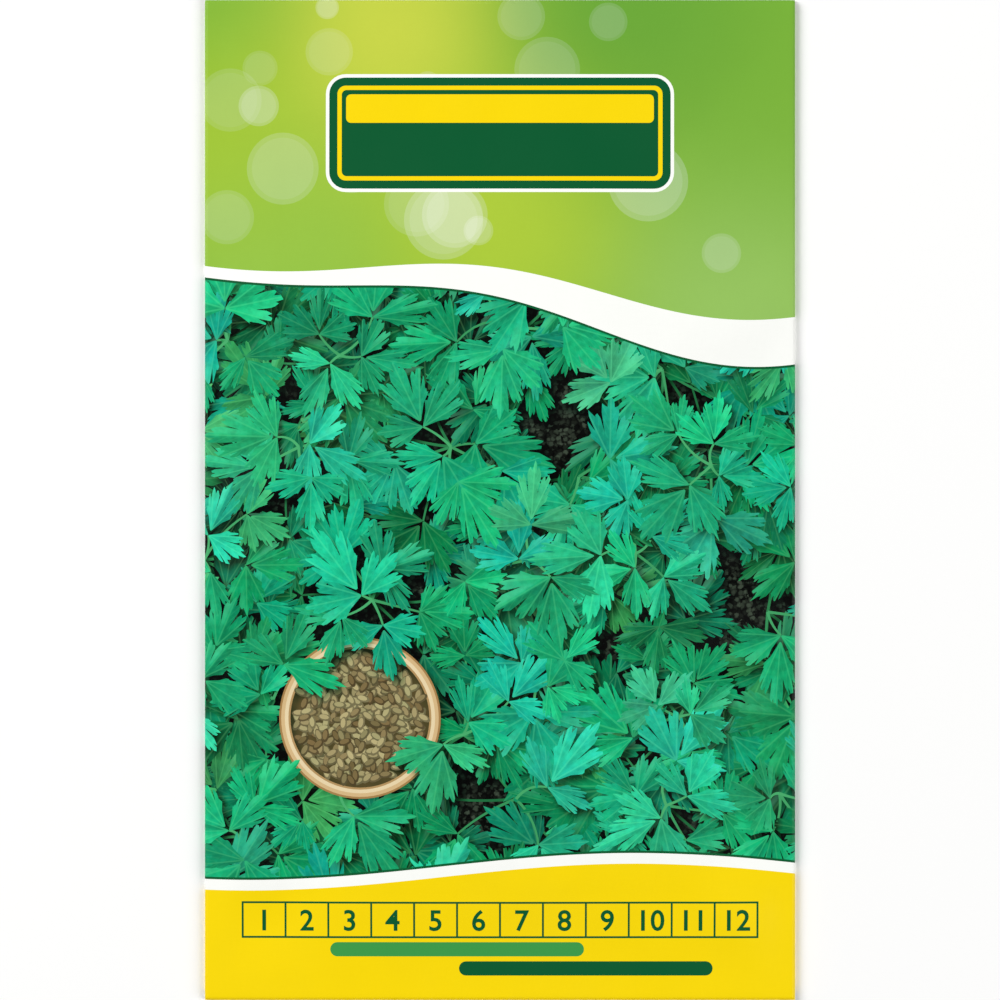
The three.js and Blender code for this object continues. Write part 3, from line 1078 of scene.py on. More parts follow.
    def leaflets(self, node: Array, turn: Array, size: Array, tint: Array, light: Pair, rng: Random) -> tuple:
        """Places three leaflets on the end of each stalk, foreshortened by a random tilt.

        Args:
            node: Ends of the stalks.
            turn: Direction of each leaf.
            size: Length of each leaf's leaflets.
            tint: Ink of each leaf.
            light: Direction towards the picture's light.
            rng: Seeded random numbers.

        Returns:
            Outlines, frames and inks of the leaflets, three rows for each leaf.
        """
        count = 3 * len(node)
        part = np.tile([-1, 1, 0], len(node))
        angle = np.repeat(turn, 3) + part * self.side_angle + rng.normal(0, self.leaflet_turn, count)
        long = np.repeat(size, 3) * np.where(part == 0, 1.0, self.side_leaflet)
        long = long * rng.uniform(*self.leaflet_lengths, count)
        wide = long * rng.uniform(*self.leaflet_widths, count)
        ahead = np.stack([np.cos(angle), np.sin(angle)], axis=-1)
        aside = np.stack([ahead[:, 1], -ahead[:, 0]], axis=-1)
        base = np.repeat(node, 3, axis=0) + ahead * (np.where(part == 0, *self.leaflet_stems) * long)[:, None]
        local = self.shape.outlines(count, rng)
        placed = base[:, None] + ahead[:, None] * (local[..., 1:] * long[:, None, None])
        placed = placed + aside[:, None] * (local[..., :1] * wide[:, None, None])
        fold = rng.uniform(-1, 1, count)
        frames = np.column_stack([base, ahead, long, wide, fold * (aside @ np.array(light))])
        bright = rng.uniform(*self.bright, count)
        return placed, frames, np.repeat(tint, 3, axis=0) * bright[:, None]

    def stalk_outline(self, start: Array, end: Array, bend: float) -> Array:
        """Outline of one stalk: a strip along a curve that bows sideways by a share of its length.

        Args:
            start: Its foot, where it is widest.
            end: Its end.
            bend: How far it bows, as a share of its length.

        Returns:
            The outline.
        """
        t = np.linspace(0, 1, self.stalk_points)[:, None]
        run = end - start
        aside = np.array([run[1], -run[0]])
        middle = start + run * t + aside * bend * 2 * t * (1 - t)
        along = run + aside * bend * 2 * (1 - 2 * t)
        across = np.stack([along[:, 1], -along[:, 0]], axis=-1) / np.linalg.norm(along, axis=1, keepdims=True)
        half = self.stalk_width * (self.stalk_taper[0] - self.stalk_taper[1] * t)
        return np.concatenate([middle + across * half, (middle - across * half)[::-1]])


def turned(points: Array, angle: float) -> Array:
    """Turns points anticlockwise round the origin."""
    c, s = math.cos(angle), math.sin(angle)
    return points @ np.array([[c, s], [-s, c]])


def circle(x: float, y: float, radius: float, points: int = 40) -> Array:
    """Points of a circle, anticlockwise."""
    angle = np.linspace(0, 2 * np.pi, points, endpoint=False)
    return np.column_stack([x + radius * np.cos(angle), y + radius * np.sin(angle)])


def box(left: float, right: float, low: float, high: float) -> Array:
    """Outline of a plain box, anticlockwise."""
    return np.array([[left, low], [right, low], [right, high], [left, high]])


def rounded_box(x: float, y: float, half: Pair, radius: float, points: int = 9) -> Array:
    """Outline of a box with quarter-circle corners.

    Args:
        x, y: Its middle.
        half: Half its width and height.
        radius: Radius of the corners.
        points: Points on each corner.

    Returns:
        The outline, anticlockwise.
    """
    quarter = np.linspace(0, np.pi / 2, points)
    angle = (quarter + np.arange(4)[:, None] * np.pi / 2).ravel()
    side_x = np.repeat([1, -1, -1, 1], points) * (half[0] - radius)
    side_y = np.repeat([1, 1, -1, -1], points) * (half[1] - radius)
    return np.column_stack([x + side_x + radius * np.cos(angle), y + side_y + radius * np.sin(angle)])


def strip(x: Array, low: Array | float, high: Array | float) -> Array:
    """Outline between two curves or levels over the same x, anticlockwise."""
    sides = [np.column_stack([x, np.broadcast_to(edge, x.shape)]) for edge in (low, high)]
    return np.concatenate([sides[0], sides[1][::-1]])


def figure_outlines(text: str, x: float, y: float, size: float, bold: float) -> list[Array]:
    """Triangles of a plain number, from Blender's own figures, centred on a place.

    Args:
        text: The number.
        x: Middle across.
        y: Foot of the figures.
        size: Size of the figures.
        bold: How far their edges are moved outwards.

    Returns:
        One outline for each triangle.
    """
    curve = bpy.data.curves.new("figure", "FONT")
    curve.body = text
    curve.size = size
    curve.align_x = "CENTER"
    curve.offset = bold
    curve.resolution_u = 4
    holder = bpy.data.objects.new("figure", curve)
    bpy.context.scene.collection.objects.link(holder)
    mesh = holder.to_mesh()
    places = np.empty(3 * len(mesh.vertices))
    mesh.vertices.foreach_get("co", places)
    places = places.reshape(-1, 3)[:, :2] + [x, y]
    shapes = [places[list(face.vertices)] for face in mesh.polygons if face.area > SMALLEST_FACE]
    holder.to_mesh_clear()
    bpy.data.objects.remove(holder)
    bpy.data.curves.remove(curve)
    return shapes


@dataclass(frozen=True)
class Calendar:
    """A sowing calendar: twelve numbered cells over two rows of bars."""

    left: float
    foot: float
    cell: float
    cell_height: float
    figure_size: float
    bar_height: float
    bar_gap: float
    bars: tuple[tuple[int, int, str], ...]
    line_ink: str
    line: float = 0.22
    bold: float = 0.0
    bar_end: float = 0.3

    def draw(self, plan: PrintPlan) -> None:
        """Lays the cells' lines, their numbers 1 to 12, and the bars below them.

        Args:
            plan: Where the outlines go.
        """
        half = self.line / 2
        right = self.left + MONTHS * self.cell
        top = self.foot + self.cell_height
        for k in range(MONTHS + 1):
            at = self.left + k * self.cell
            plan.plain(box(at - half, at + half, self.foot, top), self.line_ink)
        for at in (self.foot, top):
            plan.plain(box(self.left - half, right + half, at - half, at + half), self.line_ink)
        foot = self.foot + (self.cell_height - FIGURE_RISE * self.figure_size) / 2
        for month in range(1, MONTHS + 1):
            at = self.left + (month - 0.5) * self.cell
            for shape in figure_outlines(str(month), at, foot, self.figure_size, self.bold):
                plan.plain(shape, self.line_ink)
        for row, (first, last, code) in enumerate(self.bars):
            middle = self.foot - (row + 0.5) * self.bar_height - (row + 1) * self.bar_gap
            half = (last - first + 1) * self.cell / 2 - self.bar_end
            at = self.left + (first + last - 1) * self.cell / 2
            plan.plain(rounded_box(at, middle, (half, self.bar_height / 2), self.bar_height / 2.01), code)


@dataclass(frozen=True)
class FrontDesign:
    """The generic print of the front: a soft wash, a herb bed between two curves and a yellow foot."""

    width: float = 95.0
    picture_rise: float = 7.0
    picture_top: float = 30.0
    picture_foot: float = -58.5
    top_ripple: float = 2.2
    top_ripple_length: float = 38.0
    foot_wave: float = 2.2
    foot_wave_length: float = 62.0
    edge_points: int = 70
    band_thin: float = 2.2
    band_wide: float = 8.0
    foot_band: float = 2.1
    hairline: float = 0.38
    line_ink: str = DARK_GREEN
    white: str = "#FCFDF8"
    yellow: str = YELLOW
    plaque_middle: float = 59.0
    plaque_half: Pair = (28.0, 9.5)
    plaque_radius: float = 3.2
    plaque_rim: float = 0.55
    plaque_top_bar: float = 4.6
    bar_radius: float = 0.8
    keyline: float = 0.7
    keyline_inset: float = 1.3
    disc_count: int = 26
    disc_x: Pair = (-8.0, 24.0)
    disc_y: Pair = (38.0, 80.0)
    disc_radius: Pair = (1.6, 6.5)
    disc_light: Pair = (0.05, 0.13)
    disc_core: float = 0.86
    calendar: Calendar = Calendar(
        left=-41.4,
        foot=-70.3,
        cell=6.9,
        cell_height=5.6,
        figure_size=4.7,
        bar_height=2.3,
        bar_gap=0.8,
        bars=((3, 8, "#3E9A4B"), (6, 11, DARK_GREEN)),
        line_ink=DARK_GREEN,
        line=0.32,
        bold=0.075,
    )
    bed: HerbBed = HerbBed()
    random_start: int = 905

    def picture_edge(self, x: Array) -> Array:
        """Upper edge of the picture: a long wave that falls to the right, with a ripple on it."""
        ripple = self.top_ripple * np.cos(np.pi * x / self.top_ripple_length)
        return self.picture_top - self.picture_rise * np.sin(np.pi * x / self.width) + ripple

    def wash_edge(self, x: Array) -> Array:
        """Lower edge of the wash: the picture's edge plus a white band that widens to the right."""
        share = ease((x + self.width / 2) / self.width)
        return self.picture_edge(x) + self.band_thin + (self.band_wide - self.band_thin) * share

    def picture_foot_edge(self, x: Array) -> Array:
        """Lower edge of the picture: a shallow wave."""
        return self.picture_foot + self.foot_wave * np.sin(np.pi * x / self.foot_wave_length + 0.5)

    def draw(self, sheet: Array, light: PictureLight) -> PrintPlan:
        """Lays the whole front, from the soil up to the calendar.

        Args:
            sheet: Outline of the flat front with its folds.
            light: The picture's light.

        Returns:
            The plan of outlines.
        """
        plan = PrintPlan()
        left, low = sheet.min(axis=0) - 1
        right, high = sheet.max(axis=0) + 1
        x = np.linspace(left, right, self.edge_points)
        plan.plain(sheet, self.white)
        plan.lay(sheet * 1.02, Kind.SOIL, ink(self.bed.soil), light.soil_height)
        top = self.picture_edge(x)
        foot = self.picture_foot_edge(x)
        self.bed.draw(plan, (left, self.picture_foot - 4), (right, float(top.max())), light.towards)
        plan.plain(strip(x, top, high), self.white)
        plan.plain(strip(x, low, foot), self.white)
        plan.plain(strip(x, top, top + self.hairline), self.line_ink)
        plan.plain(strip(x, foot - self.hairline, foot), self.line_ink)
        plan.lay(strip(x, self.wash_edge(x), high), Kind.WASH, ink(self.white))
        plan.plain(strip(x, low, foot - self.foot_band), self.yellow)
        self.draw_discs(plan)
        self.draw_plaque(plan)
        self.calendar.draw(plan)
        return plan

    def draw_discs(self, plan: PrintPlan) -> None:
        """Lays pale out-of-focus discs over the wash, each with a fainter rim.

        Args:
            plan: Where the outlines go.
        """
        rng = np.random.default_rng(self.random_start)
        for _ in range(self.disc_count):
            at = (rng.normal(*self.disc_x), rng.uniform(*self.disc_y))
            radius = rng.uniform(*self.disc_radius)
            strength = rng.uniform(*self.disc_light)
            for size, share in ((1.0, 1.0), (self.disc_core, 0.5)):
                plan.lay(circle(*at, size * radius), Kind.GLOW, (share * strength,) * 3)

    def draw_plaque(self, plan: PrintPlan) -> None:
        """Lays a blank dark plaque with a yellow keyline and a yellow bar at its top.

        Args:
            plan: Where the outlines go.
        """
        inset = 0.0
        codes = (self.white, self.line_ink, self.yellow, self.line_ink)
        for code, edge in zip(codes, (self.plaque_rim, self.keyline_inset, self.keyline, self.keyline)):
            half = (self.plaque_half[0] - inset, self.plaque_half[1] - inset)
            radius = max(self.bar_radius, self.plaque_radius - inset)
            plan.plain(rounded_box(0.0, self.plaque_middle, half, radius), code)
            inset += edge
        half = (self.plaque_half[0] - inset, self.plaque_top_bar / 2)
        top = self.plaque_middle + self.plaque_half[1] - inset - half[1]
        plan.plain(rounded_box(0.0, top, half, self.bar_radius), self.yellow)


@dataclass(frozen=True)
class BackDesign:
    """The generic print of the back: a calendar, three plain growing diagrams and ruled lines."""

    paper: str = "#FAFBF4"
    green: str = DARK_GREEN
    leaf: str = LEAF_GREEN
    pale: str = "#DDEEC4"
    yellow: str = YELLOW
    earth: str = "#8A6B4C"
    line: float = 0.25
    middle: float = 6.0
    tile_y: float = 4.0
    tile_gap: float = 26.5
    tile_half: float = 12.0
    tile_inside: float = 11.6
    ground_foot: float = -9.5
    seed_half: Pair = (1.35, 0.8)
    seed_depth: float = 5.2
    seed_gap: float = 4.2
    stalk_half: float = 0.25
    blade: Pair = (4.6, 1.25)
    blade_turn: float = 0.75
    sun_radius: float = 4.0
    stroke: Triple = (0.35, 5.2, 8.0)
    arrow: Triple = (0.15, 1.3, 0.7)
    rule_half: float = 38.5
    rule_top: float = -16.0
    rule_gap: float = 6.2
    rules: int = 7
    calendar: Calendar = Calendar(
        left=-36.0,
        foot=38.5,
        cell=6.0,
        cell_height=7.0,
        figure_size=4.0,
        bar_height=3.4,
        bar_gap=2.2,
        bars=((3, 8, LEAF_GREEN), (6, 11, DARK_GREEN)),
        line_ink=DARK_GREEN,
    )

    def draw(self, sheet: Array) -> PrintPlan:
        """Lays the whole back. It is seen from below, so what reads left to right runs towards -x.

        Args:
            sheet: Outline of the back panel.

        Returns:
            The plan of outlines, mirrored for the side that it is seen from.
        """
        plan = PrintPlan()
        drawn = PrintPlan()
        plan.plain(sheet, self.paper)
        drawn.plain(rounded_box(0, 38, (39, 14.5), 3.0), self.pale)
        self.calendar.draw(drawn)
        for k, draw in enumerate((self.draw_depth, self.draw_spacing, self.draw_sun)):
            middle = (k - 1) * self.tile_gap
            drawn.plain(rounded_box(middle, self.tile_y, (self.tile_half,) * 2, 2.2), self.green)
            drawn.plain(rounded_box(middle, self.tile_y, (self.tile_inside,) * 2, 1.9), self.pale)
            draw(drawn, middle, self.tile_y)
        for row in range(self.rules):
            at = self.rule_top - self.rule_gap * row
            drawn.plain(box(-self.rule_half, self.rule_half, at, at + self.line), self.leaf)
        for outline, kind, colour in zip(drawn.outlines, drawn.kinds, drawn.inks):
            plan.lay(outline * [-1, 1] + [self.middle, 0], kind, colour)
        return plan

    def draw_ground(self, plan: PrintPlan, x: float, y: float, top: float) -> None:
        """Lays a tile's ground, from its foot up to a level."""
        plan.plain(box(x - self.tile_inside, x + self.tile_inside, y + self.ground_foot, top), self.earth)

    def draw_depth(self, plan: PrintPlan, x: float, y: float) -> None:
        """Lays a diagram of seeds below the ground's surface, with a depth mark.

        Args:
            plan: Where the outlines go.
            x, y: Middle of the tile.
        """
        level, deep, mark = y - 1.0, y - self.seed_depth, x - 7.6
        self.draw_ground(plan, x, y, level)
        for k in (-1, 0, 1):
            at = [x + 2.5 + self.seed_gap * k, deep]
            plan.plain(circle(0, 0, 1.0, 16) * self.seed_half + at, self.yellow)
        self.draw_arrow(plan, (mark, level), (mark, deep))

    def draw_spacing(self, plan: PrintPlan, x: float, y: float) -> None:
        """Lays a diagram of two seedlings with the distance between them.

        Args:
            plan: Where the outlines go.
            x, y: Middle of the tile.
        """
        level = y - 6.0
        self.draw_ground(plan, x, y, level)
        t = np.linspace(0, np.pi, 11)
        blade = np.column_stack([self.blade[0] * (1 - np.cos(t)) / 2, self.blade[1] * np.sin(t)])
        blade = np.concatenate([blade, (blade * [1, -1])[-2:0:-1]])
        for at in (x - 6.0, x + 6.0):
            plan.plain(box(at - self.stalk_half, at + self.stalk_half, level, y + 1.0), self.leaf)
            for turn in (-self.blade_turn, self.blade_turn):
                plan.plain(turned(blade, math.pi / 2 - turn) + [at, y + 0.6], self.leaf)
        for side in (1, -1):
            self.draw_arrow(plan, (x, y - 3.4), (x + side * 5.2, y - 3.4))

    def draw_sun(self, plan: PrintPlan, x: float, y: float) -> None:
        """Lays a plain sun: a disc with twelve short strokes round it.

        Args:
            plan: Where the outlines go.
            x, y: Middle of the tile.
        """
        plan.plain(circle(x, y, self.sun_radius), self.yellow)
        half, near, far = self.stroke
        for k in range(12):
            plan.plain(turned(box(-half, half, near, far), k * math.pi / 6) + [x, y], self.yellow)

    def draw_arrow(self, plan: PrintPlan, start: Pair, end: Pair) -> None:
        """Lays an arrow: a thin shaft and a three-cornered head.

        Args:
            plan: Where the outlines go.
            start: Where the shaft starts.
            end: The tip of the head.
        """
        run = np.subtract(end, start)
        ahead = run / np.hypot(*run)
        aside = np.array([-ahead[1], ahead[0]])
        thin, long, wide = self.arrow
        neck = np.array(end) - long * ahead
        side = thin * aside
        plan.plain(np.array([start - side, neck - side, neck + side, start + side]), self.green)
        plan.plain(np.array([neck - wide * aside, end, neck + wide * aside]), self.green)


# Materials


class NodeSheet:
    """Short ways to place nodes in one tree and to link them."""

    def __init__(self, tree: bpy.types.NodeTree) -> None:
        """Keeps the tree, emptied."""
        self.tree = tree
        tree.nodes.clear()

    @classmethod
    def for_material(cls, name: str) -> tuple[bpy.types.Material, "NodeSheet"]:
        """Makes a material, and gives it with its empty sheet."""
        material = bpy.data.materials.new(name)
        material.use_nodes = True
        return material, cls(material.node_tree)

    def node(self, kind: str, inputs: dict | None = None, **settings: object) -> bpy.types.Node:
        """Places a node, sets it up and feeds its inputs.

        Args:
            kind: The node's type.
            inputs: Values or sockets by the input's name or number.
            settings: Properties of the node.

        Returns:
            The node.
        """
        made = self.tree.nodes.new(kind)
        for name, value in settings.items():
            setattr(made, name, value)
        for key, value in (inputs or {}).items():
            self.feed(made.inputs[key], value)
        return made

    def feed(self, socket: Socket, value: object) -> None:
        """Links a socket to an input, or sets the input to a value."""
        if isinstance(value, Socket):
            self.tree.links.new(value, socket)
        else:
            socket.default_value = value

    def math(self, operation: str, *values: object, clamp: bool = False) -> Socket:
        """One operation on numbers."""
        inputs = dict(enumerate(values))
        return self.node("ShaderNodeMath", inputs, operation=operation, use_clamp=clamp).outputs[0]

    def add(self, *values: object) -> Socket:
        """Sum of two numbers."""
        return self.math("ADD", *values)

    def times(self, *values: object) -> Socket:
        """Product of two numbers."""
        return self.math("MULTIPLY", *values)

    def slope(self, value: object, start: float, end: float, low: float = 0.0, high: float = 1.0) -> Socket:
        """Smooth change from low to high while the value goes from start to end."""
        inputs = {0: value, 1: start, 2: end, 3: low, 4: high}
        return self.node("ShaderNodeMapRange", inputs, interpolation_type="SMOOTHSTEP").outputs[0]

    def mix(self, share: object, first: object, second: object, blend: str = "MIX") -> Socket:
        """Mix of two colours."""
        inputs = {0: share, 6: first, 7: second}
        return self.node("ShaderNodeMix", inputs, data_type="RGBA", blend_type=blend).outputs[2]

    def noise(self, place: object, scale: float, detail: float = 2.0) -> Socket:
        """Cloudy noise between 0 and 1, with this many cells to a metre."""
        inputs = {"Vector": place, "Scale": scale, "Detail": detail}
        return self.node("ShaderNodeTexNoise", inputs).outputs[0]

    def attribute(self, name: str, output: str = "Fac") -> Socket:
        """A mesh attribute, as a number unless another output is named."""
        return self.node("ShaderNodeAttribute", attribute_name=name).outputs[output]

    def scaled(self, colour: object, factor: object) -> Socket:
        """Colour times a number."""
        grey = self.node("ShaderNodeCombineColor", {0: factor, 1: factor, 2: factor}).outputs[0]
        return self.mix(1.0, colour, grey, "MULTIPLY")

    def places(self) -> Socket:
        """Object coordinates."""
        return self.node("ShaderNodeTexCoord").outputs["Object"]

    def parts(self, vector: object) -> Sockets:
        """The three numbers of a vector."""
        return self.node("ShaderNodeSeparateXYZ", {0: vector}).outputs

    def group(self, tree: bpy.types.NodeTree, **inputs: object) -> Sockets:
        """Places a node group, and gives its outputs."""
        return self.node("ShaderNodeGroup", inputs, node_tree=tree).outputs

    def bump(self, height: object, strength: float, depth: float) -> Socket:
        """Normal bent by a height, with the bump's depth in metres."""
        inputs = {"Strength": strength, "Distance": depth, "Height": height}
        return self.node("ShaderNodeBump", inputs).outputs[0]

    def surface(self, inputs: dict) -> None:
        """Places the Principled shader with these inputs, and the material's output."""
        shader = self.node("ShaderNodeBsdfPrincipled", inputs)
        self.node("ShaderNodeOutputMaterial", {"Surface": shader.outputs[0]})


def open_group(name: str, inputs: dict[str, float | None], outputs: tuple[str, ...]) -> tuple:
    """Makes an empty shader node group that several materials share.

    Args:
        name: Name of the group.
        inputs: Names of the inputs, with None for a vector or a number's default.
        outputs: Names of the outputs, all numbers.

    Returns:
        The group's node sheet, the sockets of what it is given, and those of what it gives.
    """
    tree = bpy.data.node_groups.new(name, "ShaderNodeTree")
    for label, value in inputs.items():
        kind = "NodeSocketVector" if value is None else "NodeSocketFloat"
        socket = tree.interface.new_socket(label, in_out="INPUT", socket_type=kind)
        if value is not None:
            socket.default_value = value
    for label in outputs:
        tree.interface.new_socket(label, in_out="OUTPUT", socket_type="NodeSocketFloat")
    sheet = NodeSheet(tree)
    return sheet, sheet.node("NodeGroupInput").outputs, sheet.node("NodeGroupOutput").inputs


def paper_fibre_group() -> bpy.types.NodeTree:
    """Paper fibre: stretched noise in two directions over a fine grain.

    Returns:
        The group. Height is for a bump, and Tone is a factor near 1 for the colour.
    """
    inputs = {"Place": None, "Fibres per metre": 2400.0, "Mottle": 0.04}
    sheet, given, result = open_group("paper_fibre", inputs, ("Height", "Tone"))
    fibres = []
    for turn, squeeze in ((0.5, (0.25, 1.0, 1.0)), (2.1, (1.0, 0.22, 1.0))):
        inputs = {"Vector": given["Place"], "Rotation": (0, 0, turn), "Scale": squeeze}
        moved = sheet.node("ShaderNodeMapping", inputs).outputs[0]
        fibres.append(sheet.noise(moved, given["Fibres per metre"], 3.0))
    both = sheet.add(*fibres)
    cloud = sheet.noise(given["Place"], 130.0, 4.0)
    spread = sheet.times(sheet.add(sheet.add(sheet.times(both, 0.5), cloud), -1.0), given["Mottle"])
    sheet.feed(result["Height"], both)
    sheet.feed(result["Tone"], sheet.add(spread, 1.0))
    return sheet.tree


def edge_wear_group() -> bpy.types.NodeTree:
    """Rubbed ink: breaks up a closeness to an edge with noise, so that bare paper shows in flecks.

    Returns:
        The group. Mask is 1 where the ink is gone.
    """
    inputs = {"Place": None, "Closeness": 0.0, "Amount": 0.5}
    sheet, given, result = open_group("edge_wear", inputs, ("Mask",))
    coarse = sheet.noise(given["Place"], 260.0, 3.0)
    fine = sheet.noise(given["Place"], 1900.0, 2.0)
    grain = sheet.add(sheet.times(coarse, 0.65), sheet.times(fine, 0.35))
    level = sheet.times(given["Closeness"], given["Amount"])
    sheet.feed(result["Mask"], sheet.slope(sheet.add(grain, level), 0.86, 0.98))
    return sheet.tree


@dataclass(frozen=True)
class LeafPattern:
    """Veins and folds of drawn leaflets, from each leaflet's own coordinates.

    The first coordinate goes across the leaflet and the second from its base to its tip. Main veins leave
    the base at equal angles, side veins leave them in a herringbone, and the blade swells between veins.
    """

    vein_step: float = 0.44
    vein_half: float = 0.0075
    rib_step: float = 0.17
    rib_lean: float = 2.1
    swell: float = 0.11
    fold: float = 0.32
    base_tone: float = 0.84

    def build(self, sheet: NodeSheet) -> tuple[Socket, Socket]:
        """Places the pattern's nodes.

        Args:
            sheet: The material's nodes.

        Returns:
            A factor for the blade's brightness, and the veins' mask.
        """
        x, y, _ = sheet.parts(sheet.node("ShaderNodeUVMap", uv_map="LeafPlace").outputs[0])
        aside, ahead, fold = sheet.parts(sheet.attribute("leaf_light", "Vector"))
        angle = sheet.math("ARCTAN2", x, y)
        reach = sheet.math("SQRT", sheet.add(sheet.times(x, x), sheet.times(y, y)))
        veins = sheet.math("ROUND", sheet.math("DIVIDE", angle, self.vein_step))
        nearest = sheet.times(veins, self.vein_step)
        off = sheet.math("SUBTRACT", angle, nearest)
        across = sheet.math("ABSOLUTE", sheet.times(sheet.math("SINE", off), reach))
        along = sheet.times(sheet.math("COSINE", off), reach)
        main = sheet.slope(across, self.vein_half, 2.4 * self.vein_half, 1.0, 0.0)
        lean = sheet.math("SUBTRACT", along, sheet.times(across, self.rib_lean))
        turn = sheet.math("FRACT", sheet.math("DIVIDE", lean, self.rib_step))
        rib = sheet.slope(sheet.math("ABSOLUTE", sheet.add(turn, -0.5)), 0.05, 0.17, 1.0, 0.0)
        rib = sheet.times(rib, sheet.slope(reach, 0.25, 0.45))
        bulge = sheet.math("SINE", sheet.times(off, 2 * math.pi / self.vein_step))
        sideways = sheet.times(aside, sheet.math("COSINE", nearest))
        facing = sheet.math("SUBTRACT", sideways, sheet.times(ahead, sheet.math("SINE", nearest)))
        swell = sheet.times(sheet.times(bulge, facing), sheet.slope(reach, 0.05, 0.5, 0.0, self.swell))
        half = sheet.slope(x, -0.06, 0.06, -self.fold, self.fold)
        tone = sheet.slope(reach, 0.1, 0.8, self.base_tone, 1.04)
        shade = sheet.add(sheet.add(swell, sheet.times(half, fold)), tone)
        return shade, sheet.math("MAXIMUM", main, sheet.times(rib, 0.3))


@dataclass(frozen=True)
class PrintedPaper:
    """Coated paper printed in full colour, with rubbed folds and a faint fibre under the coat."""

    name: str
    roughness: float = 0.33
    coat: float = 0.05
    coat_roughness: float = 0.22
    wear: float = 0.1
    fibre_bump: float = 0.12
    specular: float = 0.1
    bare: str = "#F3F1EA"
    sheen: str = "#74CDA4"
    vein: str = "#86CE86"
    cool: Ink = (0.75, 0.98, 1.3)
    bump_depth: float = 0.00004
    smears_per_metre: float = 55.0
    mottles_per_metre: float = 900.0
    patches_per_metre: float = 260.0
    crumb_stir: float = 0.0009
    stirs_per_metre: float = 1800.0
    crumbs_per_metre: float = 1350.0
    vein_share: float = 0.34
    leaf: LeafPattern = LeafPattern()

    def build(self, fibre: bpy.types.NodeTree, rubbed: bpy.types.NodeTree) -> bpy.types.Material:
        """Builds the material.

        Args:
            fibre: The paper fibre group.
            rubbed: The edge wear group.

        Returns:
            The material.
        """
        material, sheet = NodeSheet.for_material(self.name)
        place = sheet.places()
        printed = sheet.attribute("ink", "Color")
        printed = sheet.mix(sheet.attribute("leafy"), printed, self.leaf_ink(sheet, printed, place))
        printed = sheet.mix(sheet.attribute("soily"), printed, self.soil_ink(sheet, printed, place))
        paper = sheet.group(fibre, Place=place)
        worn = sheet.group(rubbed, Place=place, Closeness=sheet.attribute("edge"), Amount=self.wear)
        gone = worn["Mask"]
        colour = sheet.mix(gone, printed, paint(self.bare))
        rough = self.roughness
        smear = sheet.noise(place, self.smears_per_metre, 3.0)
        smear = sheet.slope(smear, 0.3, 0.75, rough - 0.05, rough + 0.08)
        sheet.surface(
            {
                "Base Color": sheet.scaled(colour, paper["Tone"]),
                "Roughness": sheet.add(smear, sheet.times(gone, 0.35)),
                "Normal": sheet.bump(paper["Height"], self.fibre_bump, self.bump_depth),
                "Specular IOR Level": self.specular,
                "Coat Weight": self.coat,
                "Coat Roughness": self.coat_roughness,
            }
        )
        return material

    def leaf_ink(self, sheet: NodeSheet, base: object, place: object) -> Socket:
        """Inks of a leaf: the base ink, shaded by folds and swells, with paler veins and sheen.

        Args:
            sheet: The material's nodes.
            base: The leaf's own ink.
            place: Object coordinates.

        Returns:
            The colour.
        """
        shade, vein = self.leaf.build(sheet)
        mottle = sheet.slope(sheet.noise(place, self.mottles_per_metre, 3.0), 0.25, 0.75, 0.84, 1.16)
        lit = sheet.scaled(base, sheet.times(shade, mottle))
        patch = sheet.slope(sheet.noise(place, self.patches_per_metre), 0.42, 0.62, 0.0, 0.35)
        lit = sheet.mix(patch, lit, sheet.mix(1.0, lit, (*self.cool, 1.0), "MULTIPLY"))
        sheen = sheet.slope(shade, 1.02, 1.45, 0.0, 0.22)
        lit = sheet.mix(sheen, lit, paint(self.sheen))
        pale = sheet.mix(0.25, sheet.scaled(base, 1.6), paint(self.vein))
        return sheet.mix(sheet.times(vein, self.vein_share), lit, pale)

    def soil_ink(self, sheet: NodeSheet, base: object, place: object) -> Socket:
        """Inks of crumbly soil: each crumb takes its own brightness, darkest between crumbs.

        Args:
            sheet: The material's nodes.
            base: The soil's own ink.
            place: Object coordinates.

        Returns:
            The colour.
        """
        inputs = {"Vector": place, "Scale": self.stirs_per_metre}
        stir = sheet.node("ShaderNodeTexNoise", inputs).outputs["Color"]
        inputs = {0: stir, 1: (self.crumb_stir,) * 3, 2: place}
        stirred = sheet.node("ShaderNodeVectorMath", inputs, operation="MULTIPLY_ADD").outputs[0]
        inputs = {"Vector": stirred, "Scale": self.crumbs_per_metre}
        crumbs = sheet.node("ShaderNodeTexVoronoi", inputs)
        tone = sheet.slope(crumbs.outputs["Color"], 0.2, 0.9, 0.1, 3.6)
        edge = sheet.slope(crumbs.outputs["Distance"], 0.3, 0.75, 1.2, 0.1)
        return sheet.scaled(base, sheet.times(tone, edge))


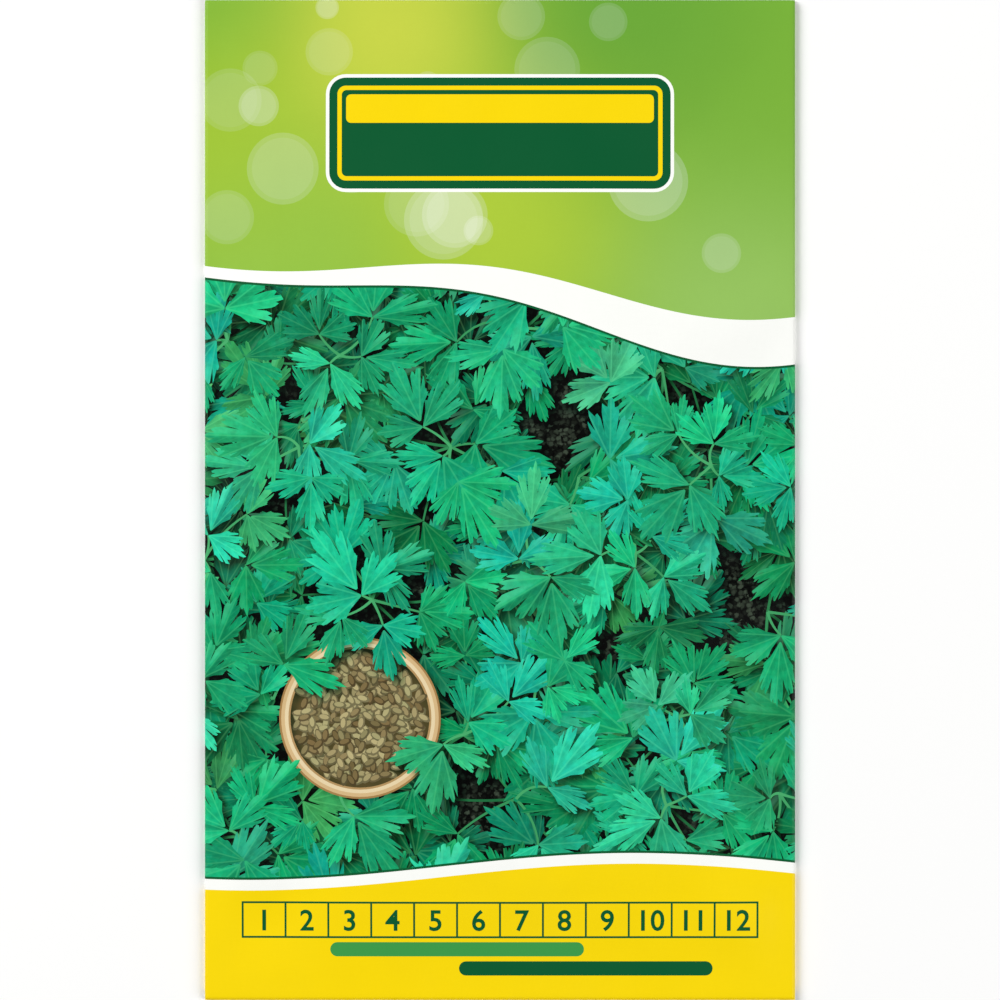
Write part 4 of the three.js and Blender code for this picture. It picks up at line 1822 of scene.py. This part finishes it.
@dataclass(frozen=True)
class BarePaper:
    """The sheet's unprinted side and its cut edges: matt white fibre."""

    name: str = "bare_paper"
    colour: str = "#F1EEE4"
    grime: str = "#D8D0BC"
    grime_share: float = 0.4
    grimes_per_metre: float = 90.0
    mottle: float = 0.12
    roughness: float = 0.72
    fibre_bump: float = 0.35
    bump_depth: float = 0.00005

    def build(self, fibre: bpy.types.NodeTree, rubbed: bpy.types.NodeTree) -> bpy.types.Material:
        """Builds the material.

        Args:
            fibre: The paper fibre group.
            rubbed: The edge wear group, here for grime in the fibre.

        Returns:
            The material.
        """
        material, sheet = NodeSheet.for_material(self.name)
        place = sheet.places()
        paper = sheet.group(fibre, Place=place, Mottle=self.mottle)
        clouds = sheet.noise(place, self.grimes_per_metre)
        dirt = sheet.times(sheet.group(rubbed, Place=place, Closeness=clouds)["Mask"], self.grime_share)
        colour = sheet.scaled(paint(self.colour), paper["Tone"])
        rough = self.roughness
        sheet.surface(
            {
                "Base Color": sheet.mix(dirt, colour, paint(self.grime)),
                "Roughness": sheet.slope(paper["Height"], 0.6, 1.4, rough - 0.06, rough + 0.1),
                "Normal": sheet.bump(paper["Height"], self.fibre_bump, self.bump_depth),
            }
        )
        return material


@dataclass(frozen=True)
class DriedGlue:
    """A dried glue film: cream, glossy where it pooled, with small bubbles and brushed streaks."""

    name: str = "dried_glue"
    thin: str = "#EFE8CE"
    pooled: str = "#D9C794"
    roughness: float = 0.32
    bump: float = 0.4
    bump_depth: float = 0.00004
    stretch: Triple = (0.15, 1.0, 1.0)
    streaks_per_metre: float = 500.0
    bubbles_per_metre: float = 900.0

    def build(self) -> bpy.types.Material:
        """Builds the material.

        Returns:
            The material.
        """
        material, sheet = NodeSheet.for_material(self.name)
        place = sheet.places()
        streaks = sheet.node("ShaderNodeMapping", {"Vector": place, "Scale": self.stretch}).outputs[0]
        pools = sheet.noise(streaks, self.streaks_per_metre, 3.0)
        inputs = {"Vector": place, "Scale": self.bubbles_per_metre}
        bubbles = sheet.node("ShaderNodeTexVoronoi", inputs).outputs["Distance"]
        ring = sheet.slope(bubbles, 0.1, 0.24, 1.0, 0.0)
        colour = sheet.mix(sheet.slope(pools, 0.35, 0.65), paint(self.thin), paint(self.pooled))
        sheet.surface(
            {
                "Base Color": sheet.scaled(colour, sheet.slope(ring, 0.0, 1.0, 1.0, 1.12)),
                "Roughness": sheet.slope(pools, 0.3, 0.7, self.roughness + 0.14, self.roughness - 0.06),
                "Normal": sheet.bump(sheet.math("SUBTRACT", pools, ring), self.bump, self.bump_depth),
            }
        )
        return material


@dataclass(frozen=True)
class SeedCoat:
    """A ribbed, dull brown seed coat with paler ribs, darker furrows and a colour for each seed."""

    name: str = "seed_coat"
    dark: str = "#5C4A34"
    pale: str = "#A8936B"
    rib: str = "#C9B78C"
    roughness: float = 0.78
    bump: float = 0.5
    bump_depth: float = 0.00006
    speckles_per_metre: float = 3500.0

    def build(self) -> bpy.types.Material:
        """Builds the material.

        Returns:
            The material.
        """
        material, sheet = NodeSheet.for_material(self.name)
        speckle = sheet.noise(sheet.places(), self.speckles_per_metre, 3.0)
        colour = sheet.mix(sheet.attribute("seed_tone"), paint(self.dark), paint(self.pale))
        ridge = sheet.slope(sheet.attribute("seed_rib"), 0.55, 0.95, 0.0, 0.7)
        colour = sheet.mix(ridge, colour, paint(self.rib))
        sheet.surface(
            {
                "Base Color": sheet.scaled(colour, sheet.slope(speckle, 0.3, 0.7, 0.75, 1.15)),
                "Roughness": sheet.slope(speckle, 0.3, 0.7, self.roughness - 0.08, self.roughness + 0.1),
                "Normal": sheet.bump(speckle, self.bump, self.bump_depth),
            }
        )
        return material


# Pieces


def write_mesh(name: str, points: Array, triangles: Array) -> bpy.types.Object:
    """Puts triangles into a new object at the origin, in metres.

    Args:
        name: Name of the object and its mesh.
        points: Places in millimetres.
        triangles: Three point numbers for each face.

    Returns:
        The object, linked to the scene and shaded smooth.
    """
    mesh = bpy.data.meshes.new(name)
    mesh.vertices.add(len(points))
    mesh.vertices.foreach_set("co", (points * MM).ravel())
    mesh.loops.add(triangles.size)
    mesh.loops.foreach_set("vertex_index", triangles.ravel())
    mesh.polygons.add(len(triangles))
    mesh.polygons.foreach_set("loop_start", np.arange(0, triangles.size, 3))
    mesh.polygons.foreach_set("use_smooth", np.ones(len(triangles), bool))
    mesh.update(calc_edges=True)
    mesh.validate()
    made = bpy.data.objects.new(name, mesh)
    bpy.context.scene.collection.objects.link(made)
    return made


def write_values(mesh: bpy.types.Mesh, name: str, kind: str, values: Array) -> None:
    """Adds an attribute with one value for each face corner.

    Args:
        mesh: The mesh.
        name: Name of the attribute.
        kind: Its type: FLOAT, FLOAT_VECTOR or FLOAT_COLOR.
        values: One row for each corner.
    """
    field_name = {"FLOAT": "value", "FLOAT_VECTOR": "vector", "FLOAT_COLOR": "color"}[kind]
    made = mesh.attributes.new(name, kind, "CORNER")
    made.data.foreach_set(field_name, np.ascontiguousarray(values, dtype=np.float32).ravel())


def finish_piece(piece: bpy.types.Object, node: str) -> None:
    """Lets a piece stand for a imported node, and reports it."""
    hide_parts(node)
    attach(piece, "root")
    log.info("%s: %d faces", piece.name, len(piece.data.polygons))


@dataclass
class SheetPart:
    """One part of the folded sheet: a printed outer face, a bare inner face and its cut rim."""

    name: str
    plan: PrintPlan
    fold: Callable[[Array], tuple[Array, Array]]
    closeness: Callable[[Array], Array]
    thickness: float
    fold_lines: list[Array] = field(default_factory=list)
    step: float = 1.0
    inner_step: float = 2.5
    sharp_angle: float = 0.9
    low_down: float = 0.6
    full_light: float = 1.02
    map_margin: float = 0.006
    map_shares: Pair = (0.62, 0.6)
    map_rim: Pair = (0.9, 0.02)
    wash: SoftWash = SoftWash()
    light: PictureLight = PictureLight()

    def build(self, printed: bpy.types.Material, bare: bpy.types.Material) -> bpy.types.Object:
        """Builds the part and dresses it.

        The inner face has its own, coarser triangles between the same rim points. Its points are the
        outer face's, moved inwards along the normal by the sheet's thickness. An outer face that lies low
        down looks down.

        Args:
            printed: Material of the outer face.
            bare: Material of the inner face and the rim.

        Returns:
            The object.
        """
        outer = Cut.of(self.plan, self.fold_lines, self.step)
        rim = outer.rim()
        inner_points, inner_triangles, rim_inside = self.inner_face(outer, rim)
        outer_at, _ = self.fold(outer.points)
        inner_at, inner_out = self.fold(inner_points)
        first = len(outer_at)
        a, b = rim.T
        a_in, b_in = (rim_inside[k] + first for k in (a, b))
        walls = np.concatenate([np.stack([b, a, a_in], 1), np.stack([b, a_in, b_in], 1)])
        faces = np.concatenate([outer.triangles, inner_triangles[:, ::-1] + first, walls])
        places = np.concatenate([outer_at, inner_at - self.thickness * inner_out])
        flat = np.concatenate([outer.points, inner_points])
        if outer_at[:, 2].mean() < self.low_down:
            faces = faces[:, ::-1]
        piece = write_mesh(self.name, places, faces)
        counts = (len(outer.triangles), len(inner_triangles), len(walls))
        self.dress(piece, outer, flat, faces, counts)
        for material in (printed, bare):
            piece.data.materials.append(material)
        piece.data.polygons.foreach_set("material_index", np.repeat([0, 1, 1], counts))
        piece.data.polygons.foreach_set("use_smooth", np.repeat([True, True, False], counts))
        piece.data.set_sharp_from_angle(angle=self.sharp_angle)
        return piece

    def inner_face(self, outer: Cut, rim: Array) -> tuple[Array, Array, Array]:
        """Fills the rim with coarser triangles.

        Args:
            outer: The cut outer face.
            rim: Its rim's edges.

        Returns:
            Flat points, triangles, and for each outer point the inner point that lies under it.
        """
        ends, edges = np.unique(rim, return_inverse=True)
        loop = outer.points[ends]
        edges = [*map(tuple, edges.reshape(-1, 2).tolist()), *run_edges(self.fold_lines, len(loop))]
        everything = np.concatenate([loop, *self.fold_lines, grid_in(loop, self.inner_step)])
        points, triangles, made = triangulate(everything, edges, [])
        source, place = flattened(made[3])
        inside = np.zeros(len(everything), int)
        inside[source] = place
        under = np.full(len(outer.points), -1)
        under[ends] = inside[: len(loop)]
        return points, triangles, under

    def dress(self, piece: bpy.types.Object, outer: Cut, flat: Array, faces: Array, counts: tuple) -> None:
        """Writes the ink, the leaflets' coordinates and light, the wear and the bake map.

        Args:
            piece: The object.
            outer: The cut outer face.
            flat: Flat places of all points.
            faces: All triangles, as written.
            counts: How many triangles the outer face, the inner face and the rim have.
        """
        mesh = piece.data
        kinds = np.array(self.plan.kinds)
        total = 3 * sum(counts)
        region = np.repeat(outer.top, 3)
        printed = faces[: counts[0]]
        at = flat[printed.ravel()]
        frames = np.array(self.plan.frames, float)[region]
        away = at - frames[:, :2]
        ahead = frames[:, 2:4]
        aside = np.stack([ahead[:, 1], -ahead[:, 0]], axis=-1)
        across, along = ((away * way).sum(axis=1) for way in (aside, ahead))
        local = np.stack([across / frames[:, 5], along / frames[:, 4]], axis=-1)
        lamp = np.array(self.light.towards)
        beam = np.stack([aside @ lamp, ahead @ lamp, frames[:, 6]], axis=-1)
        is_leaf = kinds[region] == Kind.LEAF
        colour = np.column_stack([self.corner_inks(outer, printed, at), np.ones(len(at))])
        corners = (
            ("ink", "FLOAT_COLOR", colour, 1.0),
            ("leaf_light", "FLOAT_VECTOR", np.where(is_leaf[:, None], beam, 0.0), 0.0),
            ("leafy", "FLOAT", is_leaf, 0.0),
            ("soily", "FLOAT", kinds[region] == Kind.SOIL, 0.0),
            ("edge", "FLOAT", self.closeness(at), 0.0),
        )
        for name, kind, values, rest in corners:
            write_values(mesh, name, kind, self.padded(values, total, rest))
        leaf_place = self.padded(np.where(is_leaf[:, None], local, 0.0), total, 0.0)
        mesh.uv_layers.new(name="LeafPlace").data.foreach_set("uv", leaf_place.ravel())
        self.write_bake_map(mesh, flat, faces, counts)

    @staticmethod
    def padded(values: Array, total: int, rest: float) -> Array:
        """Adds rows that all hold one number, up to a total."""
        out = np.full((total, *values.shape[1:]), rest)
        out[: len(values)] = values
        return out

    def corner_inks(self, outer: Cut, faces: Array, at: Array) -> Array:
        """Ink at each printed corner.

        Plain regions keep their ink. The wash has its own field of light, and each glow over it adds
        light. In the picture the ink is darker low down and where something higher stands near.

        Args:
            outer: The cut outer face.
            faces: The printed triangles, as written.
            at: Flat place of each corner.

        Returns:
            One row of red, green and blue for each corner.
        """
        kinds = np.array(self.plan.kinds)
        inks = np.array(self.plan.inks, float)
        heights = np.array(self.plan.heights, float)
        region = np.repeat(outer.top, 3)
        colour = inks[region]
        washed = kinds[region] == Kind.WASH
        light = np.repeat(outer.glow, 3)[:, None]
        field_ink = self.wash.ink_at(*at.T)
        colour = np.where(washed[:, None], field_ink + light * (self.full_light - field_ink), colour)
        drawn = np.isin(kinds[outer.top], (Kind.SOIL, Kind.STEM, Kind.LEAF, Kind.THING))
        if drawn.any():
            shade = self.light.shade(outer, heights[outer.top], drawn)
            flipped = not np.array_equal(faces[0], outer.triangles[0])
            shade = (shade[:, ::-1] if flipped else shade).ravel()
            level = np.clip(heights[region], 0, 1)
            tone = shade * (self.light.low_tone + (self.light.high_tone - self.light.low_tone) * level)
            tinted = colour * tone[:, None] ** np.array(self.light.dark_tint)
            colour = np.where(np.repeat(drawn, 3)[:, None], tinted, colour)
        return colour

    def write_bake_map(self, mesh: bpy.types.Mesh, flat: Array, faces: Array, counts: tuple) -> None:
        """Writes a flat map: the print on the left, the bare side smaller on the right, the rim above it.

        Args:
            mesh: The mesh.
            flat: Flat places of all points.
            faces: All triangles, as written.
            counts: How many triangles the outer face, the inner face and the rim have.
        """
        low = flat.min(axis=0)
        size = flat.max(axis=0) - low
        corner = (flat[faces] - low).reshape(-1, 2)
        if size[1] < size[0]:
            corner = corner[:, ::-1]
            size = size[::-1]
        margin = self.map_margin
        big = min((1 - 2 * margin) / size[1], self.map_shares[0] / size[0])
        small = min(self.map_shares[1] * big, (1 - 4 * margin - big * size[0]) / size[0])
        printed, bare, rim = np.split(corner, np.cumsum(counts[:2]) * 3)
        shift = np.array([3 * margin + big * size[0], margin])
        angle = np.arctan2(*(rim - size / 2).T).reshape(-1, 3)
        angle = angle[:, :1] + (angle - angle[:, :1] + np.pi) % (2 * np.pi) - np.pi
        inside = faces[counts[0] + counts[1] :] > faces[: counts[0]].max()
        share = np.clip((angle + 1.2 * np.pi) / (2.4 * np.pi), 0, 1)
        along_rim = shift[0] + share * (1 - margin - shift[0])
        band = np.stack([along_rim, self.map_rim[0] + self.map_rim[1] * inside], axis=-1).reshape(-1, 2)
        bake = np.concatenate([margin + printed * big, shift + bare * small, band])
        mesh.uv_layers.new(name="OFBake").data.foreach_set("uv", bake.ravel())


@dataclass
class Pouch:
    """The folded paper sheet: front panel with its four folds, back panel and three flaps."""

    packet: Packet
    front: FrontDesign = FrontDesign()
    back: BackDesign = BackDesign()
    fold_steps: int = 8
    line_step: float = 1.0
    top_flap_ink: str = "#8FBE45"
    side_crest: Pair = (0.45, 0.5)
    end_crest: Pair = (0.5, 0.55)
    corner_wear: float = 1.6
    most_wear: float = 1.3
    back_wear: float = 0.5
    flap_wear: float = 0.6

    def front_outline(self) -> Array:
        """Outline of the flat front with the paper of its folds.

        Past the middle of each fold the paper ends a notch short of the corner.

        Returns:
            The outline, anticlockwise.
        """
        p = self.packet
        side = np.pi * p.side_radius
        end = np.pi * p.end_radius
        in_x, in_y = p.half_x - p.notch, p.half_y - p.notch
        mid_x, mid_y = p.half_x + side / 2, p.half_y + end / 2
        end_x, end_y = p.half_x + side, p.half_y + end
        corner = np.array([[end_x, in_y], [mid_x, in_y], [mid_x, mid_y], [in_x, mid_y], [in_x, end_y]])
        return np.concatenate([corner, corner[::-1] * [-1, 1], corner * [-1, -1], corner[::-1] * [1, -1]])

    def front_folds(self) -> list[Array]:
        """Lines along which the front turns: the start of each fold and its even steps.

        Returns:
            One run of points for each line.
        """
        p = self.packet
        steps = np.arange(self.fold_steps) * np.pi / self.fold_steps
        lines = []
        for number, turn in enumerate(steps):
            whole = number <= self.fold_steps // 2
            tall = p.half_y + np.pi * p.end_radius / 2 if whole else p.half_y - p.notch
            wide = p.half_x + np.pi * p.side_radius / 2 if whole else p.half_x - p.notch
            along_y = np.linspace(-tall, tall, round(2 * tall / self.line_step))
            along_x = np.linspace(-wide, wide, round(2 * wide / self.line_step))
            for side in (-1, 1):
                at_x = side * (p.half_x + turn * p.side_radius)
                at_y = side * (p.half_y + turn * p.end_radius)
                lines.append(np.column_stack([np.full_like(along_y, at_x), along_y]))
                lines.append(np.column_stack([along_x, np.full_like(along_x, at_y)]))
        return lines

    def fold_closeness(self, flat: Array) -> Array:
        """Closeness to the front's fold crests: a bell round the first part of each fold, 1 at corners."""
        p = self.packet
        past_x = np.abs(flat[:, 0]) - p.half_x
        past_y = np.abs(flat[:, 1]) - p.half_y
        crests = ((past_x, *self.side_crest), (past_y, *self.end_crest))
        crest = np.maximum(*(bell((past - middle) / reach) for past, middle, reach in crests))
        corner = bell(np.hypot(np.maximum(-past_x, 0), np.maximum(-past_y, 0)) / self.corner_wear)
        return np.clip(crest + corner, 0, self.most_wear)

    @staticmethod
    def edge_closeness(outline: Array, reach: float) -> Callable[[Array], Array]:
        """Gives closeness to an outline's edges.

        Args:
            outline: The outline.
            reach: Distance over which it falls off.

        Returns:
            A function from flat places to values from 0 to 1.
        """

        def closeness(flat: Array) -> Array:
            """Falls off with the distance to the nearest edge."""
            best = np.full(len(flat), np.inf)
            for a, b in zip(outline, np.roll(outline, -1, axis=0)):
                run = b - a
                t = np.clip(((flat - a) @ run) / (run @ run), 0, 1)
                best = np.minimum(best, np.linalg.norm(flat - a - t[:, None] * run, axis=1))
            return np.exp(-best / reach)

        return closeness

    def end_flap(self, side: int, length: float) -> Array:
        """Outline of a top or bottom flap, narrower at its free edge.

        Args:
            side: 1 for the top flap, -1 for the bottom one.
            length: Length of the flap.

        Returns:
            The outline, anticlockwise.
        """
        p = self.packet
        wide = p.half_x - p.notch
        narrow = wide * (1 - p.flap_taper)
        near, far = p.half_y, p.half_y - length
        outline = np.array([[-narrow, far], [narrow, far], [wide, near], [-wide, near]])
        return outline if side > 0 else (outline * [1, -1])[::-1]

    def parts(self) -> list[SheetPart]:
        """The five parts of the sheet, each with its print.

        Returns:
            Front panel, back panel, side flap, bottom flap and top flap.
        """
        p = self.packet
        light = PictureLight()
        front = self.front_outline()
        plan = self.front.draw(front, light)
        worn = self.fold_closeness
        folds = self.front_folds()
        made = [SheetPart("front_panel", plan, p.fold_front, worn, p.sheet, folds, light=light)]
        in_y = p.half_y - p.notch
        back = box(-p.half_x + p.back_inset, p.half_x, -in_y, in_y)
        worn = self.edge_closeness(back, self.back_wear)
        made.append(SheetPart("back_panel", self.back.draw(back), p.fold_back, worn, p.sheet))
        short = in_y * (1 - p.side_flap_taper)
        lap = np.array([[-p.half_x, -in_y], [p.seam_x, -short], [p.seam_x, short], [-p.half_x, in_y]])
        flaps = (
            ("side_flap", lap, p.seam_level, self.back.paper),
            ("bottom_flap", self.end_flap(-1, p.bottom_flap), 0.0, self.front.yellow),
            ("top_flap", self.end_flap(1, p.top_flap), 0.0, self.top_flap_ink),
        )
        for name, outline, level, code in flaps:
            plan = PrintPlan()
            plan.plain(outline, code)
            worn = self.edge_closeness(outline, self.flap_wear)
            made.append(SheetPart(name, plan, p.lay_flat(level), worn, p.sheet, step=2.0))
        return made

    def build(self) -> None:
        """Builds all parts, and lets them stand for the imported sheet."""
        fibre = paper_fibre_group()
        rubbed = edge_wear_group()
        printed = PrintedPaper("printed_coated_paper").build(fibre, rubbed)
        plain = PrintedPaper("printed_back_paper", roughness=0.5, coat=0.0).build(fibre, rubbed)
        bare = BarePaper().build(fibre, rubbed)
        for part in self.parts():
            outer = plain if part.name in ("back_panel", "side_flap") else printed
            finish_piece(part.build(outer, bare), SHEET_NODE)


@dataclass(frozen=True)
class SeedHeap:
    """Loose ribbed seeds, strewn in layers between the two panels."""

    packet: Packet
    length: float = 2.7
    width: float = 1.35
    height: float = 1.1
    ribs: int = 5
    rib_depth: float = 0.16
    spacing: float = 3.1
    shift: float = 0.2
    rows: int = 3
    columns: int = 10
    layers: int = 3
    room: float = 0.12
    sizes: Pair = (0.82, 1.05)
    tip: float = 0.05
    bow: float = 0.12
    bed_centre_y: float = -24.0
    bed_half: Pair = (33.5, 44.5)
    random_start: int = 20817

    def places(self, rng: Random) -> Array:
        """Places of the seeds, in as many layers as fit between the two panels.

        Args:
            rng: Seeded random numbers.

        Returns:
            One row of x, y and z for each seed.
        """
        places = hex_places(self.bed_half, self.spacing, self.shift, rng)
        inside = np.hypot(*(places / self.bed_half).T) < 1
        x, y = (places[inside] + [0, self.bed_centre_y]).T
        low = self.packet.back_height(x, y) + self.packet.sheet + self.room
        high = self.packet.front_height(x, y) - self.packet.sheet - self.room
        levels = np.clip(((high - low) / self.height).astype(int), 0, self.layers)
        layer = np.arange(self.layers)[:, None]
        held = layer < levels
        z = low + (high - low) * ((layer + 0.5) / np.maximum(levels, 1))
        return np.stack([np.broadcast_to(v, held.shape)[held] for v in (x, y, z)], axis=-1)

    def build(self) -> None:
        """Builds all seeds as one mesh.

        Each seed is a spindle: along its length the radius is the root of 1 minus the square of the
        place, bent a little to one side, and round it the radius rises at each rib.
        """
        rng = np.random.default_rng(self.random_start)
        where = self.places(rng)
        unit, rib, faces = self.unit_seed()
        count = len(where)
        turn = rng.uniform(0, 2 * np.pi, (count, 1))
        tip = rng.normal(0, self.tip, (count, 1))
        local = unit[None] * rng.uniform(*self.sizes, (count, 1, 1))
        tall = local[..., 2] * np.cos(tip) + local[..., 1] * np.sin(tip)
        along = local[..., 1] * np.cos(tip) - local[..., 2] * np.sin(tip)
        c, s = np.cos(turn), np.sin(turn)
        points = np.stack([local[..., 0] * c - along * s, local[..., 0] * s + along * c, tall], axis=-1)
        points = (points + where[:, None]).reshape(-1, 3)
        every = (faces[None] + np.arange(count)[:, None, None] * len(unit)).reshape(-1, 3)
        piece = write_mesh("loose_seeds", points, every)
        tone = np.repeat(rng.uniform(0, 1, count), len(faces) * 3)
        write_values(piece.data, "seed_tone", "FLOAT", tone)
        write_values(piece.data, "seed_rib", "FLOAT", rib[every.ravel() % len(unit)])
        piece.data.materials.append(SeedCoat().build())
        finish_piece(piece, SEED_NODE)

    def unit_seed(self) -> tuple[Array, Array, Array]:
        """One seed along y, closed at both ends by a point.

        Returns:
            Its points, how far each is on a rib, and its triangles, facing outwards.
        """
        t = -np.cos(np.linspace(0, np.pi, self.rows + 2)[1:-1])
        angle = np.arange(self.columns) * 2 * np.pi / self.columns
        rib = np.maximum(0, np.cos(self.ribs * angle)) ** 2
        swell = np.sqrt(1 - t**2)[:, None] * (1 - self.rib_depth + self.rib_depth * rib)
        long = np.broadcast_to(t[:, None], swell.shape)
        bow = self.bow * self.width
        across = swell * np.sin(angle) * self.width / 2 + bow * (t**2)[:, None]
        ring = np.stack([across, long * self.length / 2, swell * np.cos(angle) * self.height / 2], axis=-1)
        ring = ring.reshape(-1, 3)
        points = np.concatenate([ring, [[bow, -self.length / 2, 0], [bow, self.length / 2, 0]]])
        on_rib = np.concatenate([np.tile(rib, self.rows), [0.0, 0.0]])
        i, j = np.meshgrid(np.arange(self.rows - 1), np.arange(self.columns), indexing="ij")
        a = (i * self.columns + j).ravel()
        b = (i * self.columns + (j + 1) % self.columns).ravel()
        c, d = b + self.columns, a + self.columns
        start = np.arange(self.columns)
        after = (start + 1) % self.columns
        last = (self.rows - 1) * self.columns
        foot, tip = len(ring), len(ring) + 1
        faces = [
            np.stack([a, c, b], 1),
            np.stack([a, d, c], 1),
            np.stack([np.full_like(start, foot), start, after], 1),
            np.stack([np.full_like(start, tip), last + after, last + start], 1),
        ]
        return points, on_rib, np.concatenate(faces)


def dress_glue() -> None:
    """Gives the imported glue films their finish."""
    material = DriedGlue().build()
    for name in GLUE_NODES:
        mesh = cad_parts[name].data
        mesh.materials.clear()
        mesh.materials.append(material)
        log.info("%s: %s", name, material.name)


@dataclass(frozen=True)
class Studio:
    """A pale floor, soft light all round and a camera straight above the packet."""

    packet: Packet
    lens: float = 200.0
    sensor: float = 36.0
    floor: str = "#FDFDFC"
    floor_half: float = 2.0
    floor_gap: float = 0.05
    world: float = 0.15

    def build(self) -> None:
        """Makes the camera, the floor and the lights."""
        scene = bpy.context.scene
        scene.view_settings.view_transform = "Standard"
        self.place_camera(scene)
        self.place_floor()
        self.place_lights()
        sky = bpy.data.worlds.new("studio_air")
        sky.use_nodes = True
        sheet = NodeSheet(sky.node_tree)
        air = sheet.node("ShaderNodeBackground", {"Color": (1.0, 1.0, 1.0, 1.0), "Strength": self.world})
        sheet.node("ShaderNodeOutputWorld", {"Surface": air.outputs[0]})
        scene.world = sky

    def place_camera(self, scene: bpy.types.Scene) -> None:
        """Hangs the camera where the packet's height fills the picture's height."""
        data = bpy.data.cameras.new("camera")
        data.lens = self.lens
        data.sensor_width = self.sensor
        camera = bpy.data.objects.new("camera", data)
        rise = self.packet.height * self.lens / self.sensor + self.packet.end_radius
        camera.location = (0.0, 0.0, rise * MM)
        scene.collection.objects.link(camera)
        scene.camera = camera

    def place_floor(self) -> None:
        """Lays the floor. It lets light and looks through from below, so that the back can be seen."""
        h = self.floor_half
        mesh = bpy.data.meshes.new("floor")
        z = -self.floor_gap * MM
        mesh.from_pydata([(-h, -h, z), (h, -h, z), (h, h, z), (-h, h, z)], [], [(0, 1, 2, 3)])
        floor = bpy.data.objects.new("floor", mesh)
        bpy.context.scene.collection.objects.link(floor)
        material, sheet = NodeSheet.for_material("floor")
        behind = sheet.node("ShaderNodeNewGeometry").outputs["Backfacing"]
        shadow = sheet.node("ShaderNodeLightPath").outputs["Is Shadow Ray"]
        pale = sheet.node("ShaderNodeBsdfPrincipled", {"Base Color": paint(self.floor), "Roughness": 0.9})
        clear = sheet.node("ShaderNodeBsdfTransparent")
        share = sheet.math("MAXIMUM", behind, shadow)
        both = sheet.node("ShaderNodeMixShader", {0: share, 1: pale.outputs[0], 2: clear.outputs[0]})
        sheet.node("ShaderNodeOutputMaterial", {"Surface": both.outputs[0]})
        mesh.materials.append(material)

    def place_lights(self) -> None:
        """Places two large soft lights above and one below the floor."""
        lights = (
            ("key", (-1.0, 0.6, 1.0), 21.5, 0.9),
            ("fill", (1.1, -0.4, 0.95), 14.0, 1.1),
            ("under", (0.5, -0.5, -1.0), 6.0, 1.2),
        )
        for name, place, power, size in lights:
            data = bpy.data.lights.new(name, "AREA")
            data.energy = power
            data.size = size
            lamp = bpy.data.objects.new(name, data)
            lamp.location = place
            lamp.rotation_euler = Vector(place).to_track_quat("Z", "Y").to_euler()
            bpy.context.scene.collection.objects.link(lamp)


def main() -> None:
    """Builds the packet piece by piece, then its studio."""
    logging.basicConfig(level=logging.INFO, format="%(name)s: %(message)s")
    packet = Packet()
    Pouch(packet).build()
    SeedHeap(packet).build()
    dress_glue()
    Studio(packet).build()
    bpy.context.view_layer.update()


if __name__ == "__main__":
    main()
